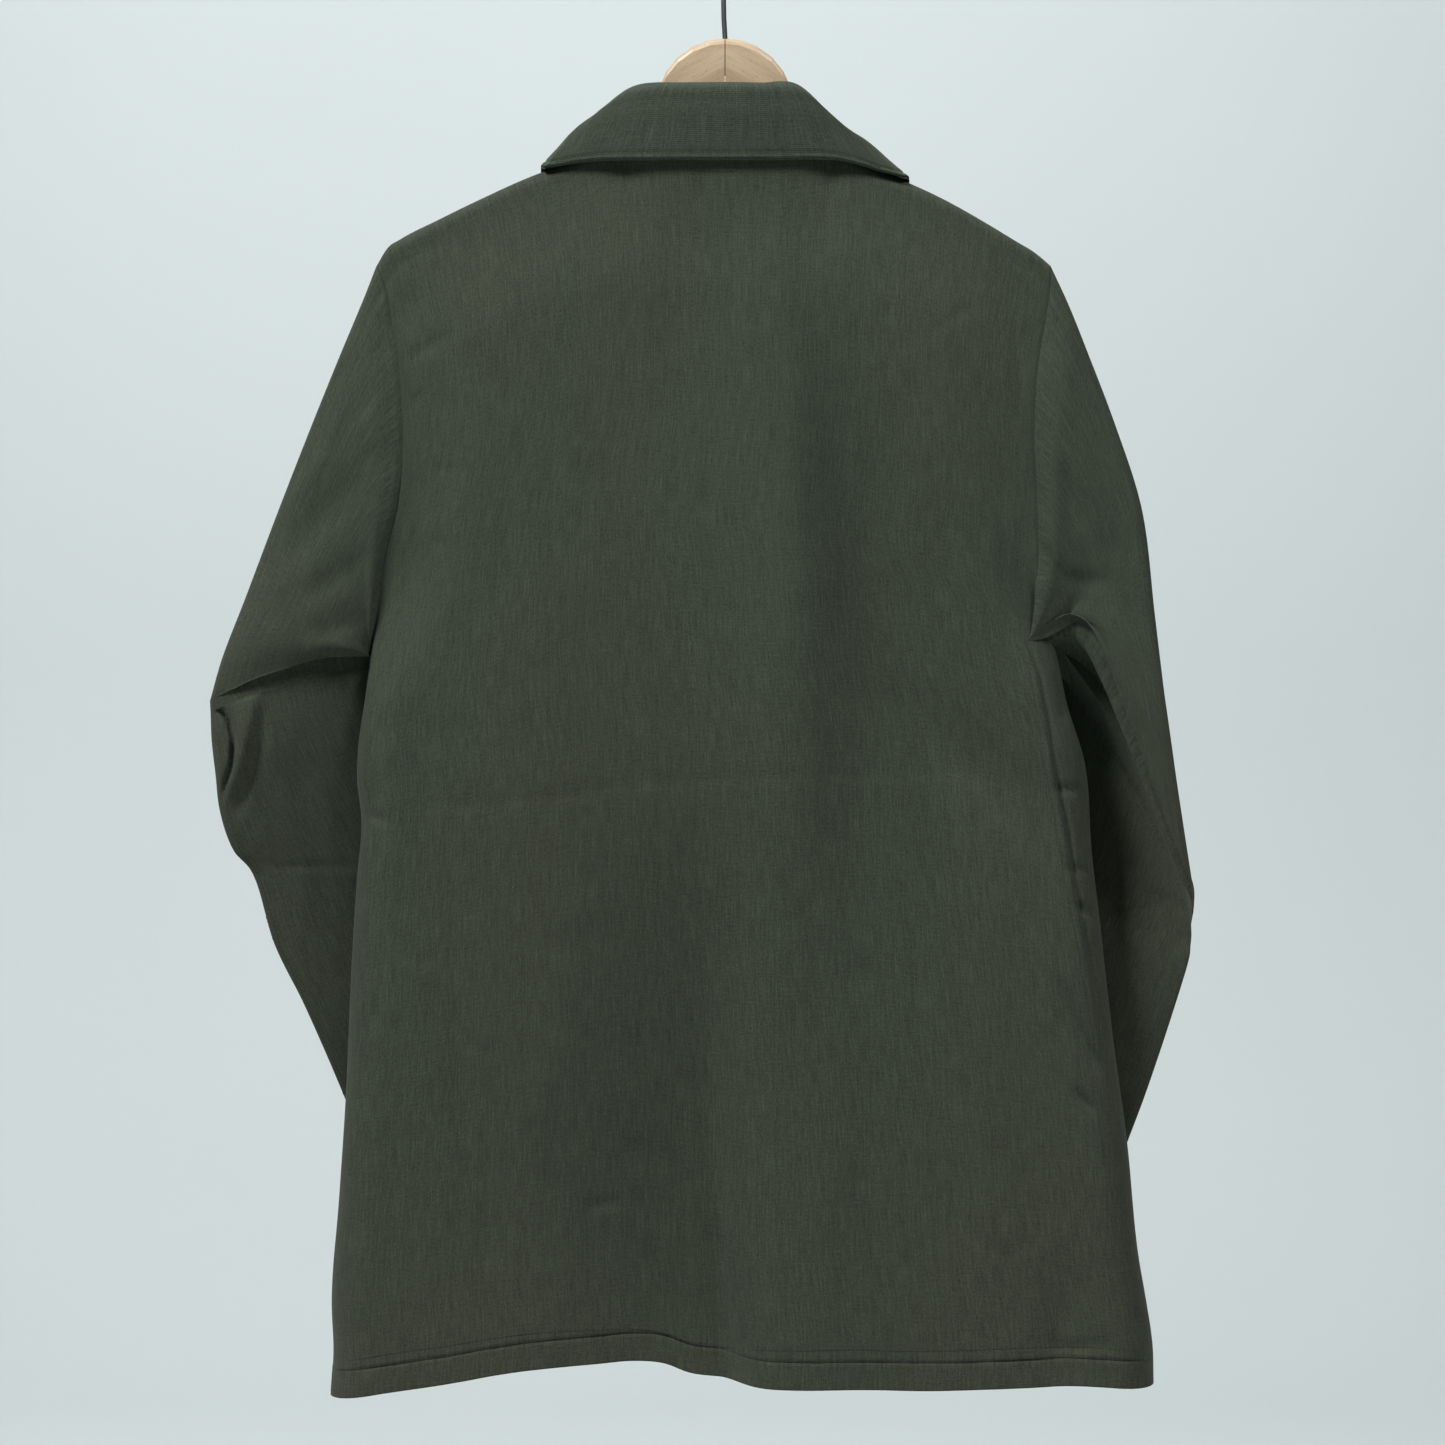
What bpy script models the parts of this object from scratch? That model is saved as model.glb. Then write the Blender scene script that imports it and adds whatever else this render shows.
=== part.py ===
"""Long-sleeved utility shirt hung on a wooden hanger.

The world is in metres with +Z up. The origin is the inner top of the hook.
The back of the shirt faces -Y and its buttoned front faces +Y.
The tables below hold millimetres, and make_object turns them into metres.
"""
import math

import bmesh
import bpy
import numpy as np

# Main sizes in metres
CLOTH_WALL = 0.0012
CUFF_WALL = 0.0018
COLLAR_WALL = 0.0010
BAND_WALL = 0.0014
SEAM_GAP = 0.0003
WOOD_HALF_THICKNESS = 0.0052
WIRE_RADIUS = 0.0016
HOOK_INNER_RADIUS = 0.0190
BORE_RADIUS = 0.0019
BUTTON_RADIUS = 0.0085
BUTTON_HEIGHT = 0.0028

MM = 0.001

# Share of the way down an armhole at each row of points, from the shoulder to the armpit
ARMHOLE_ROWS = [0.0, 0.006, 0.017, 0.04, 0.08, 0.146, 0.25, 0.37, 0.5, 0.63, 0.75, 0.854, 0.933, 0.983, 1.0]
SIDE_ROW_COUNT = 15
ARMHOLE_LENGTH = 240.0
RIDGE_RADIUS = 8.2

# Shares of the way across a front, close together at its side and at its neck point
FRONT_COLUMNS = [0.0, 0.006, 0.024, 0.055, 0.1, 0.165, 0.25, 0.35, 0.45, 0.54, 0.611,
                 0.6130, 0.6160, 0.6205, 0.628, 0.642, 0.675, 0.726, 0.795, 0.872, 0.94, 1.0]
NECK_COLUMN = 10

# Ridge of the cloth over the hanger: x, z
SHOULDER_LEFT = [
    (-215.8, -225.7), (-208.5, -214.2), (-201.5, -209.6), (-177.3, -197.2),
    (-151.9, -184.8), (-118.4, -169.8), (-104.0, -164.5), (-73.0, -151.0),
]
SHOULDER_RIGHT = [
    (73.0, -156.0), (102.0, -169.8), (114.0, -174.6), (135.8, -184.8), (158.1, -197.2),
    (178.6, -209.6), (193.0, -218.5), (201.5, -225.7),
]

# Armhole seams from the shoulder down to the armpit: x, y, z
ARMHOLE_BACK_LEFT = [
    (-215.8, 0.0, -225.7), (-210.7, -7.5, -238.4), (-205.3, -11.0, -264.6), (-202.0, -13.0, -279.9),
    (-199.6, -15.0, -302.3), (-198.4, -16.0, -335.0), (-201.1, -16.0, -371.9), (-210.0, -14.0, -408.7),
    (-214.7, -10.0, -441.8), (-219.8, 0.0, -467.0),
]
ARMHOLE_FRONT_LEFT = [
    (-215.8, 0.0, -225.7), (-210.7, 7.5, -238.4), (-203.5, 9.0, -264.6), (-196.0, 10.5, -302.3),
    (-193.5, 11.5, -335.0), (-195.0, 11.5, -371.9), (-204.0, 10.0, -408.7), (-211.5, 7.0, -441.8),
    (-219.8, 0.0, -467.0),
]
ARMHOLE_BACK_RIGHT = [
    (201.5, 0.0, -225.7), (200.9, -7.5, -238.4), (198.2, -9.5, -257.0), (194.1, -12.0, -279.8),
    (191.4, -15.0, -302.3), (190.0, -16.0, -335.0), (191.9, -16.0, -371.9), (192.4, -17.0, -401.5),
    (191.5, -17.0, -428.0), (194.5, -13.0, -443.0), (199.5, -6.5, -451.5), (205.0, 0.0, -455.2),
]
ARMHOLE_FRONT_RIGHT = [
    (201.5, 0.0, -225.7), (200.7, 7.5, -238.4), (196.0, 9.0, -264.6), (187.5, 10.5, -302.3),
    (185.5, 11.5, -335.0), (187.0, 11.5, -371.9), (190.0, 11.0, -408.7), (195.0, 8.0, -438.0),
    (205.0, 0.0, -455.2),
]

# Outer sides of the body from the armpit down to the hem: x, y, z
SIDE_LEFT = [
    (-219.8, 0.0, -467.0), (-223.2, 0.0, -494.8), (-227.5, 0.0, -525.8), (-228.0, 0.0, -544.4),
    (-225.4, 0.0, -567.3), (-228.2, 0.0, -606.4), (-231.3, 0.0, -656.0), (-235.0, 0.0, -739.7),
    (-239.3, 0.0, -804.8), (-243.7, 0.0, -866.8), (-242.6, 0.0, -897.8), (-244.3, 0.0, -923.0),
]
SIDE_RIGHT = [
    (205.0, 0.0, -455.2), (207.5, 0.0, -475.0), (211.4, 0.0, -494.8), (222.6, 0.0, -532.0),
    (227.5, 0.0, -591.5), (232.5, 0.0, -633.1), (235.6, 0.0, -661.6), (240.3, 0.0, -702.5),
    (249.1, 0.0, -767.6), (256.7, 0.0, -842.0), (261.0, 0.0, -866.8), (264.7, 0.0, -891.6),
    (265.4, 0.0, -915.8),
]

# Lower edges of the body: x, z
HEM_BACK = [
    (-244.3, -923.0), (-219.8, -918.7), (-176.4, -912.3), (-121.2, -904.2), (-76.8, -901.7),
    (-56.2, -901.2), (-36.4, -904.0), (-22.8, -909.6), (-1.9, -912.5), (30.5, -914.5),
    (82.0, -914.3), (118.4, -915.1), (183.7, -913.1), (214.5, -912.3), (265.4, -915.8),
]
HEM_FRONT = [
    (-244.3, -923.0), (-200.0, -913.0), (-120.0, -905.5), (-60.0, -904.0), (0.0, -907.0),
    (100.0, -909.0), (200.0, -908.5), (265.4, -915.8),
]

# How far the back and the front stand off the middle plane: z, back depth, front depth
BODY_DEPTH = [
    (-150.0, 17.0, 13.0), (-200.0, 19.0, 15.0), (-300.0, 23.0, 13.0), (-467.0, 28.0, 12.0),
    (-600.0, 30.0, 12.0), (-780.0, 33.0, 12.0), (-924.0, 38.0, 12.0),
]

# Broad troughs and ridges of the back, in the plane of the view.
# x, z of the middle, angle from level in degrees, half length, half width, depth (a ridge is negative)
BACK_FOLDS = [
    (-22.0, -700.0, 96.0, 170.0, 44.0, 12.0),
    (-48.0, -860.0, 98.0, 130.0, 58.0, 22.0),
    (40.0, -400.0, 91.0, 190.0, 26.0, -5.0),
    (-12.0, -640.0, 88.0, 150.0, 9.0, 2.5),
    (105.0, -420.0, 112.0, 130.0, 22.0, 3.5),
    (150.0, -545.0, 140.0, 60.0, 16.0, 3.0),
    (-120.0, -560.0, 92.0, 200.0, 40.0, -4.0),
    (160.0, -780.0, 92.0, 130.0, 40.0, -4.0),
    (-207.0, -540.0, 86.0, 80.0, 9.0, 4.0),
    (180.0, -700.0, 62.0, 60.0, 12.0, 4.0),
    (140.0, -815.0, 50.0, 45.0, 12.0, 3.0),
    (-168.0, -290.0, 24.0, 40.0, 8.0, 2.5),
    (150.0, -262.0, 28.0, 42.0, 8.0, 2.5),
    (205.0, -875.0, 90.0, 40.0, 12.0, 4.0),
]

# Sections of the left sleeve from the armhole to the cuff.
# outer x, y, z; inner x, y, z; bulge to the back; bulge to the front; share of the armhole's shape; bow
SLEEVE_LEFT = [
    (-215.8, 0.0, -225.7, -219.8, 0.0, -467.0, 0.0, 0.0, 1.00, 0.0),
    (-223.8, 0.0, -246.8, -221.0, 1.5, -468.4, 12.0, 11.0, 0.55, 0.0),
    (-239.3, 0.0, -284.0, -222.0, 3.0, -469.4, 17.0, 13.0, 0.28, 0.0),
    (-259.2, 0.0, -333.6, -223.0, 4.3, -470.2, 21.0, 13.0, 0.10, 0.0),
    (-278.4, 0.0, -383.2, -224.0, 5.4, -470.8, 24.0, 13.0, 0.00, 0.0),
    (-297.0, 0.0, -432.8, -225.0, 6.3, -471.2, 26.0, 13.0, 0.00, 2.0),
    (-311.2, 0.0, -470.0, -226.0, 7.0, -471.4, 26.0, 13.0, 0.00, 4.0),
    (-318.4, 0.0, -491.5, -227.0, 7.6, -471.4, 24.0, 12.0, 0.00, 6.0),
    (-318.6, 1.0, -500.5, -219.0, 14.0, -476.0, 6.0, 6.0, 0.00, 3.0),
    (-317.8, 2.0, -520.9, -213.4, 25.0, -489.6, 7.0, 7.0, 0.00, 0.0),
    (-315.0, 4.0, -556.9, -192.3, 34.0, -509.7, 8.0, 7.0, 0.00, 0.0),
    (-308.4, 6.0, -581.8, -176.9, 38.0, -535.0, 8.0, 7.0, 0.00, 0.0),
    (-295.7, 8.0, -608.0, -166.3, 40.0, -565.3, 8.0, 7.0, 0.00, 0.0),
    (-282.4, 11.0, -647.5, -151.8, 41.0, -603.3, 8.0, 7.0, 0.00, 0.0),
    (-266.1, 15.0, -682.1, -140.4, 41.0, -645.1, 7.0, 7.0, 0.00, 0.0),
    (-251.1, 20.0, -717.0, -129.6, 40.0, -680.4, 6.0, 7.0, 0.00, 0.0),
    (-238.0, 26.0, -745.8, -118.2, 39.0, -710.7, 5.0, 6.0, 0.00, 0.0),
]
CUFF_LEFT = [
    (-238.0, 26.0, -745.8, -118.2, 39.0, -710.7, 5.0, 6.0, 0.00, 0.0),
    (-228.0, 28.3, -775.5, -107.9, 38.5, -740.5, 5.8, 6.8, 0.00, 0.0),
    (-218.3, 30.0, -804.2, -97.9, 38.0, -769.4, 5.5, 6.5, 0.00, 0.0),
]

# Sections of the right sleeve, with the same columns
SLEEVE_RIGHT = [
    (201.5, 0.0, -225.7, 205.0, 0.0, -455.2, 0.0, 0.0, 1.00, 0.0),
    (212.7, 0.0, -250.5, 207.5, -1.0, -453.5, 11.0, 11.0, 0.55, 0.0),
    (225.1, 0.0, -281.5, 210.0, -2.5, -452.5, 15.0, 13.0, 0.28, 0.0),
    (241.2, 0.0, -324.9, 212.5, -4.0, -452.0, 18.0, 14.0, 0.10, 0.0),
    (257.3, 0.0, -378.2, 215.0, -5.0, -452.5, 19.0, 15.0, 0.00, 0.0),
    (264.7, 0.0, -442.7, 216.8, -5.5, -454.0, 19.0, 16.0, 0.00, -2.0),
    (272.2, 0.0, -510.9, 217.8, -5.0, -456.0, 18.0, 17.0, 0.00, -6.0),
    (279.6, 0.0, -562.0, 218.0, -3.5, -458.8, 15.0, 17.0, 0.00, -10.0),
    (283.4, 1.0, -582.0, 212.0, 8.0, -466.0, 6.0, 10.0, 0.00, -9.0),
    (287.2, 2.0, -608.0, 200.0, 21.0, -488.0, 6.0, 9.0, 0.00, -5.0),
    (289.6, 2.5, -638.0, 187.0, 31.0, -527.3, 6.0, 8.0, 0.00, -2.0),
    (287.6, 4.0, -657.5, 152.4, 40.0, -599.5, 8.0, 7.0, 0.00, 0.0),
    (281.4, 8.0, -681.5, 143.7, 41.0, -635.0, 8.0, 7.0, 0.00, 0.0),
    (270.4, 14.0, -718.2, 139.2, 41.0, -678.0, 7.0, 7.0, 0.00, 0.0),
    (261.6, 19.0, -745.0, 134.8, 41.0, -707.7, 6.0, 7.0, 0.00, 0.0),
    (252.4, 25.0, -772.1, 129.7, 40.0, -736.1, 5.0, 6.0, 0.00, 0.0),
]
CUFF_RIGHT = [
    (252.4, 25.0, -772.1, 129.7, 40.0, -736.1, 5.0, 6.0, 0.00, 0.0),
    (243.0, 27.3, -803.5, 120.6, 39.0, -767.3, 5.8, 6.8, 0.00, 0.0),
    (234.6, 29.0, -831.7, 111.9, 38.0, -795.3, 5.5, 6.5, 0.00, 0.0),
]

# Stations round the collar from its left front end over the back to its right front end.
# neck seam x, y, z; roll line x, y, z; lower edge of the fall x, y, z
COLLAR = [
    (-2.5, 20.5, -225.5, -4.0, 29.0, -211.0, -52.0, 36.0, -262.0),
    (-32.0, 17.5, -212.5, -36.0, 28.0, -199.0, -76.0, 32.0, -240.0),
    (-56.0, 11.0, -186.0, -66.0, 20.0, -177.0, -98.0, 24.0, -211.0),
    (-62.5, 10.5, -162.0, -80.0, 12.0, -154.0, -111.0, 15.5, -188.0),
    (-67.2, 5.2, -148.0, -80.5, 7.0, -141.5, -114.0, 11.5, -170.0),
    (-71.5, 0.0, -148.0, -78.5, -1.0, -137.0, -114.0, -1.0, -163.8),
    (-70.0, -4.8, -148.6, -76.0, -6.5, -133.0, -111.5, -11.0, -165.5),
    (-66.0, -8.0, -148.5, -70.0, -11.0, -128.5, -105.0, -14.0, -165.0),
    (-48.0, -13.8, -150.0, -52.0, -17.0, -117.6, -78.0, -25.0, -162.0),
    (-24.0, -17.2, -151.0, -26.0, -20.0, -116.6, -38.0, -27.5, -162.3),
    (0.0, -18.2, -151.5, 0.0, -20.5, -116.6, 0.0, -28.0, -162.5),
    (24.0, -17.2, -152.0, 21.0, -20.0, -116.6, 26.0, -27.5, -162.4),
    (48.0, -13.8, -152.0, 42.0, -17.0, -117.2, 68.0, -25.5, -161.8),
    (66.0, -8.0, -152.5, 62.0, -11.5, -135.0, 97.0, -15.0, -168.5),
    (68.3, -5.6, -152.4, 70.0, -6.5, -141.0, 109.0, -11.0, -171.0),
    (69.8, 0.2, -152.6, 75.0, -1.0, -146.5, 114.0, -1.0, -170.8),
    (68.3, 5.8, -152.5, 79.5, 7.0, -149.0, 113.5, 11.5, -176.0),
    (62.5, 10.5, -166.5, 79.0, 12.0, -159.0, 111.0, 15.5, -192.0),
    (56.0, 11.0, -189.5, 66.0, 19.0, -180.0, 98.0, 23.0, -214.0),
    (32.0, 17.5, -214.8, 36.0, 28.0, -202.0, 76.0, 32.0, -242.0),
    (2.5, 20.5, -226.0, 4.0, 29.0, -212.0, 52.0, 36.0, -263.0),
]

# Side view of the wooden hanger, the same on both halves but for the slope: x, top z, bottom z
WOOD_LEFT = [
    (-0.2, -85.0, -158.0), (-10.0, -86.2, -158.0), (-20.0, -90.0, -158.2), (-29.0, -96.5, -158.6),
    (-36.0, -105.0, -159.2), (-40.5, -114.5, -160.0), (-43.5, -126.0, -161.0), (-48.0, -140.0, -163.0),
    (-58.0, -151.5, -168.0), (-73.0, -158.5, -174.5), (-95.0, -166.8, -182.5), (-118.4, -173.6, -190.0),
    (-151.9, -187.2, -202.6), (-177.3, -199.6, -214.6), (-191.0, -207.2, -220.6), (-198.0, -212.4, -221.8),
    (-201.0, -216.4, -220.2),
]
WOOD_RIGHT = [
    (0.2, -85.0, -158.0), (10.0, -86.2, -158.0), (20.0, -90.0, -158.2), (29.0, -96.5, -158.6),
    (36.0, -105.0, -159.2), (40.5, -114.5, -160.2), (43.5, -128.0, -162.0), (48.0, -143.0, -165.0),
    (58.0, -155.0, -170.5), (73.0, -163.5, -178.5), (92.0, -171.8, -186.5), (113.5, -178.8, -194.5),
    (135.8, -187.4, -203.6), (158.1, -199.9, -215.6), (172.0, -208.6, -222.0), (181.0, -215.0, -226.0),
    (185.5, -220.0, -225.4),
]

# Middle line of the hook's straight stem: x, z
HOOK_STEM = [(0.0, -107.8), (0.0, -95.0), (0.0, -84.0), (-0.7, -72.0), (-0.9, -59.0), (1.6, -47.5)]
HOOK_FIRST_ANGLE = -70.0
HOOK_LAST_ANGLE = 186.0

BUTTON_TOP = -238.0
BUTTON_STEP = 103.0
BUTTON_COUNT = 6
BAND_HALF_WIDTH = 17.0
CENTRE_EDGE = 18.0

# Colour, roughness and metallic value of each material
MATERIALS = {
    "shirt_cloth": ((0.052, 0.066, 0.044), 0.92, 0.0),
    "collar_cloth": ((0.054, 0.068, 0.046), 0.92, 0.0),
    "button_plastic": ((0.030, 0.036, 0.026), 0.45, 0.0),
    "beech_wood": ((0.520, 0.400, 0.260), 0.50, 0.0),
    "hook_steel": ((0.420, 0.430, 0.440), 0.32, 1.0),
}


def clear_scene():
    for old in list(bpy.data.objects):
        bpy.data.objects.remove(old, do_unlink=True)


def get_material(name):
    material = bpy.data.materials.get(name)
    if material is None:
        material = bpy.data.materials.new(name)
        material.use_nodes = True
        colour, roughness, metallic = MATERIALS[name]
        shader = material.node_tree.nodes["Principled BSDF"]
        shader.inputs["Base Color"].default_value = (*colour, 1.0)
        shader.inputs["Roughness"].default_value = roughness
        shader.inputs["Metallic"].default_value = metallic
    return material


def make_object(name, points, faces, material_name, smooth=True):
    mesh = bpy.data.meshes.new(name)
    mesh.from_pydata([tuple(float(value) * MM for value in point) for point in points], [], faces)
    shape = bmesh.new()
    shape.from_mesh(mesh)
    bmesh.ops.triangulate(shape, faces=list(shape.faces))
    bmesh.ops.recalc_face_normals(shape, faces=list(shape.faces))
    shape.to_mesh(mesh)
    shape.free()
    item = bpy.data.objects.new(name, mesh)
    bpy.context.scene.collection.objects.link(item)
    mesh.materials.append(get_material(material_name))
    for face in mesh.polygons:
        face.use_smooth = smooth
    return item


def hermite(first, last, first_slope, last_slope, span, share):
    a = share * share * (3.0 - 2.0 * share)
    b = share * (1.0 - share) * (1.0 - share) * span
    c = -share * share * (1.0 - share) * span
    return first * (1.0 - a) + last * a + first_slope * b + last_slope * c


def smooth_curve(knots, rows, at):
    """Smooth value at a place among rising knots, without overshoot at the ends."""
    knots = np.asarray(knots, dtype=float)
    rows = np.asarray(rows, dtype=float)
    at = min(max(at, knots[0]), knots[-1])
    slopes = np.gradient(rows, knots, axis=0)
    low = min(int(np.searchsorted(knots, at, side="right")) - 1, len(knots) - 2)
    span = knots[low + 1] - knots[low]
    share = (at - knots[low]) / span
    return hermite(rows[low], rows[low + 1], slopes[low], slopes[low + 1], span, share)


def table_value(table, at, column=1):
    """Value of a column where the first column equals at. The first column may rise or fall."""
    rows = sorted(table)
    return float(smooth_curve([row[0] for row in rows], [row[column] for row in rows], at))


def path_point(path, share):
    """Point at a share of the length of a path, from 0 to 1."""
    rows = np.asarray(path, dtype=float)
    steps = np.linalg.norm(np.diff(rows, axis=0), axis=1)
    knots = np.concatenate([[0.0], np.cumsum(steps)])
    return smooth_curve(knots / knots[-1], rows, share)


def soft_step(value):
    value = min(max(value, 0.0), 1.0)
    return value * value * (3.0 - 2.0 * value)


def round_edge(value):
    """Quarter circle from 0 at the edge to 1 inside."""
    value = min(max(value, 0.0), 1.0)
    return math.sqrt(1.0 - (1.0 - value) ** 2)


def ridge_height(x):
    if x < 0.0:
        return table_value(SHOULDER_LEFT, x)
    return table_value(SHOULDER_RIGHT, x)


def back_top(x):
    """Height and depth of the top edge of the back: shoulder ridge or neck edge."""
    left_neck = SHOULDER_LEFT[-1][0]
    right_neck = SHOULDER_RIGHT[0][0]
    if x <= left_neck or x >= right_neck:
        return ridge_height(x), 0.0
    share = (x - left_neck) / (right_neck - left_neck)
    bow = math.sqrt(max(0.0, 1.0 - (2.0 * share - 1.0) ** 2))
    z = SHOULDER_LEFT[-1][1] * (1.0 - share) + SHOULDER_RIGHT[0][1] * share - 1.5 * bow
    return z, -18.0 * bow


def front_top(x):
    """Height and depth of the top edge of a front: shoulder ridge or dropped neck edge."""
    left_neck = SHOULDER_LEFT[-1][0]
    right_neck = SHOULDER_RIGHT[0][0]
    if x <= left_neck or x >= right_neck:
        return ridge_height(x), 0.0
    share = (x - left_neck) / (right_neck - left_neck)
    bow = max(0.0, 1.0 - (2.0 * share - 1.0) ** 2) ** 0.9
    z = SHOULDER_LEFT[-1][1] * (1.0 - share) + SHOULDER_RIGHT[0][1] * share - 74.0 * bow
    over = RIDGE_RADIUS * round_edge((ridge_height(x) - z) / RIDGE_RADIUS)
    return z, max(over, 20.0 * bow)


def fold_depth(folds, x, z):
    """Sum of the soft folds at a place: plus is away from the viewer of that side."""
    total = 0.0
    for middle_x, middle_z, angle, half_length, half_width, depth in folds:
        turn = math.radians(angle)
        along = (x - middle_x) * math.cos(turn) + (z - middle_z) * math.sin(turn)
        across = -(x - middle_x) * math.sin(turn) + (z - middle_z) * math.cos(turn)
        reach = (along / half_length) ** 2 + (across / half_width) ** 2
        total += depth * math.exp(-reach)
    return total


def stand_off(x, z, edge_distance, top_distance, top_depth, column, seam_depth, folds):
    """How far a body panel stands off the middle plane at a place."""
    deep = table_value(BODY_DEPTH, z, column)
    start = max(abs(top_depth), RIDGE_RADIUS * round_edge(top_distance / RIDGE_RADIUS))
    start = min(start, deep)
    full = start + (deep - start) * soft_step(top_distance / 90.0)
    side_share = soft_step((-400.0 - z) / 100.0)
    soft = soft_step(edge_distance / 55.0)
    rounded = round_edge(edge_distance / 28.0)
    share = soft * (1.0 - side_share) + rounded * side_share
    calm = soft_step(edge_distance / 40.0) * soft_step(top_distance / 60.0)
    full = full - calm * fold_depth(folds, x, z)
    return abs(seam_depth) + (full - abs(seam_depth)) * share


def side_shares(count):
    """Shares of the way across the back, close together at both sides."""
    return [(1.0 - math.cos(math.pi * index / count)) / 2.0 for index in range(count + 1)]


def armhole_point(armhole, share):
    """Point of an armhole seam, rounded over the end of the hanger at its top."""
    point = path_point(armhole, share)
    if share < 0.3:
        least = RIDGE_RADIUS * round_edge(share * ARMHOLE_LENGTH / RIDGE_RADIUS)
        if abs(point[1]) < least:
            point[1] = least if armhole[1][1] > 0.0 else -least
    return point


def side_path(armhole, side):
    """Points down one edge of a panel: the armhole, then the side."""
    points = [armhole_point(armhole, share) for share in ARMHOLE_ROWS]
    for index in range(1, SIDE_ROW_COUNT + 1):
        points.append(path_point(side, index / SIDE_ROW_COUNT))
    return points


def row_shares(points):
    steps = [0.0]
    for first, second in zip(points, points[1:]):
        steps.append(steps[-1] + float(np.linalg.norm(second[[0, 2]] - first[[0, 2]])))
    return [step / steps[-1] for step in steps]


def panel_grid(left, right, top, hem, column, folds, shares, sign, centre_left=False, centre_right=False):
    """Rows of points of a body panel between its left and right edges, filled by blending its four edges."""
    left_shares = row_shares(left)
    right_shares = row_shares(right)
    rows = []
    for row, (start, end) in enumerate(zip(left, right)):
        down = (left_shares[row] + right_shares[row]) / 2.0
        line = []
        for share in shares:
            top_x = left[0][0] * (1.0 - share) + right[0][0] * share
            hem_x = left[-1][0] * (1.0 - share) + right[-1][0] * share
            top_z, top_depth = top(top_x)
            hem_z = table_value(hem, hem_x)
            corner_z = ((left[0][2] * (1.0 - share) + right[0][2] * share) * (1.0 - down)
                        + (left[-1][2] * (1.0 - share) + right[-1][2] * share) * down)
            x = start[0] * (1.0 - share) + end[0] * share
            z = (start[2] * (1.0 - share) + end[2] * share
                 + top_z * (1.0 - down) + hem_z * down - corner_z)
            seam = start[1] * (1.0 - share) + end[1] * share
            left_distance = 999.0 if centre_left else abs(x - start[0])
            right_distance = 999.0 if centre_right else abs(end[0] - x)
            if left_distance <= right_distance and not centre_left:
                seam = start[1]
            elif not centre_right:
                seam = end[1]
            ridge = top(x)[0]
            depth = stand_off(x, z, min(left_distance, right_distance), max(0.0, ridge - z),
                              top_depth * (1.0 - down) ** 4, column, seam, folds)
            y = sign * depth
            if min(left_distance, right_distance) < 0.01:
                y = seam
            line.append(np.array([x, y, z]))
        rows.append(line)
    return np.array(rows)


def unit(vectors):
    lengths = np.linalg.norm(vectors, axis=-1, keepdims=True)
    return vectors / np.maximum(lengths, 1e-9)


def sheet_normals(grid):
    """Unit normals of an open sheet of points, evened out a little over its neighbours."""
    normals = unit(np.cross(np.gradient(grid, axis=1), np.gradient(grid, axis=0)))
    for _ in range(2):
        wide = np.pad(normals, ((1, 1), (1, 1), (0, 0)), mode="edge")
        around = wide[:-2, 1:-1] + wide[2:, 1:-1] + wide[1:-1, :-2] + wide[1:-1, 2:]
        normals = unit(normals * 2.0 + around)
    return normals


def tube_normals(grid):
    """Unit normals of the rings of a flat tube, each within the plane of its ring."""
    half = grid.shape[1] // 2
    across = unit(grid[:, half] - grid[:, 0])
    flat = np.cross(across, np.array([0.0, 1.0, 0.0]))[:, None, :]
    along = np.roll(grid, -1, axis=1) - np.roll(grid, 1, axis=1)
    return unit(np.cross(along, np.broadcast_to(flat, grid.shape)))


def level_normals(normals, on_seam):
    """Normals without depth where a panel meets the opposite panel in the middle plane."""
    result = normals.copy()
    result[on_seam, 1] = 0.0
    lengths = np.linalg.norm(result, axis=2, keepdims=True)
    return result / np.maximum(lengths, 1e-9)


def trim(grid, closed, gap):
    """Draw the free edges of a grid in by a small gap, so that pieces meet without touching."""
    result = grid.copy()
    edges = [(0, 1), (-1, -2)]
    for edge, inside in edges:
        step = grid[inside] - grid[edge]
        length = np.linalg.norm(step, axis=1, keepdims=True)
        drawn = gap if edge == 0 else 0.2
        result[edge] = grid[edge] + step / np.maximum(length, 1e-9) * np.minimum(drawn, length * 0.4)
    if not closed:
        for edge, inside in edges:
            step = result[:, inside] - result[:, edge]
            length = np.linalg.norm(step, axis=1, keepdims=True)
            result[:, edge] += step / np.maximum(length, 1e-9) * np.minimum(gap, length * 0.4)
    return result


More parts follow.
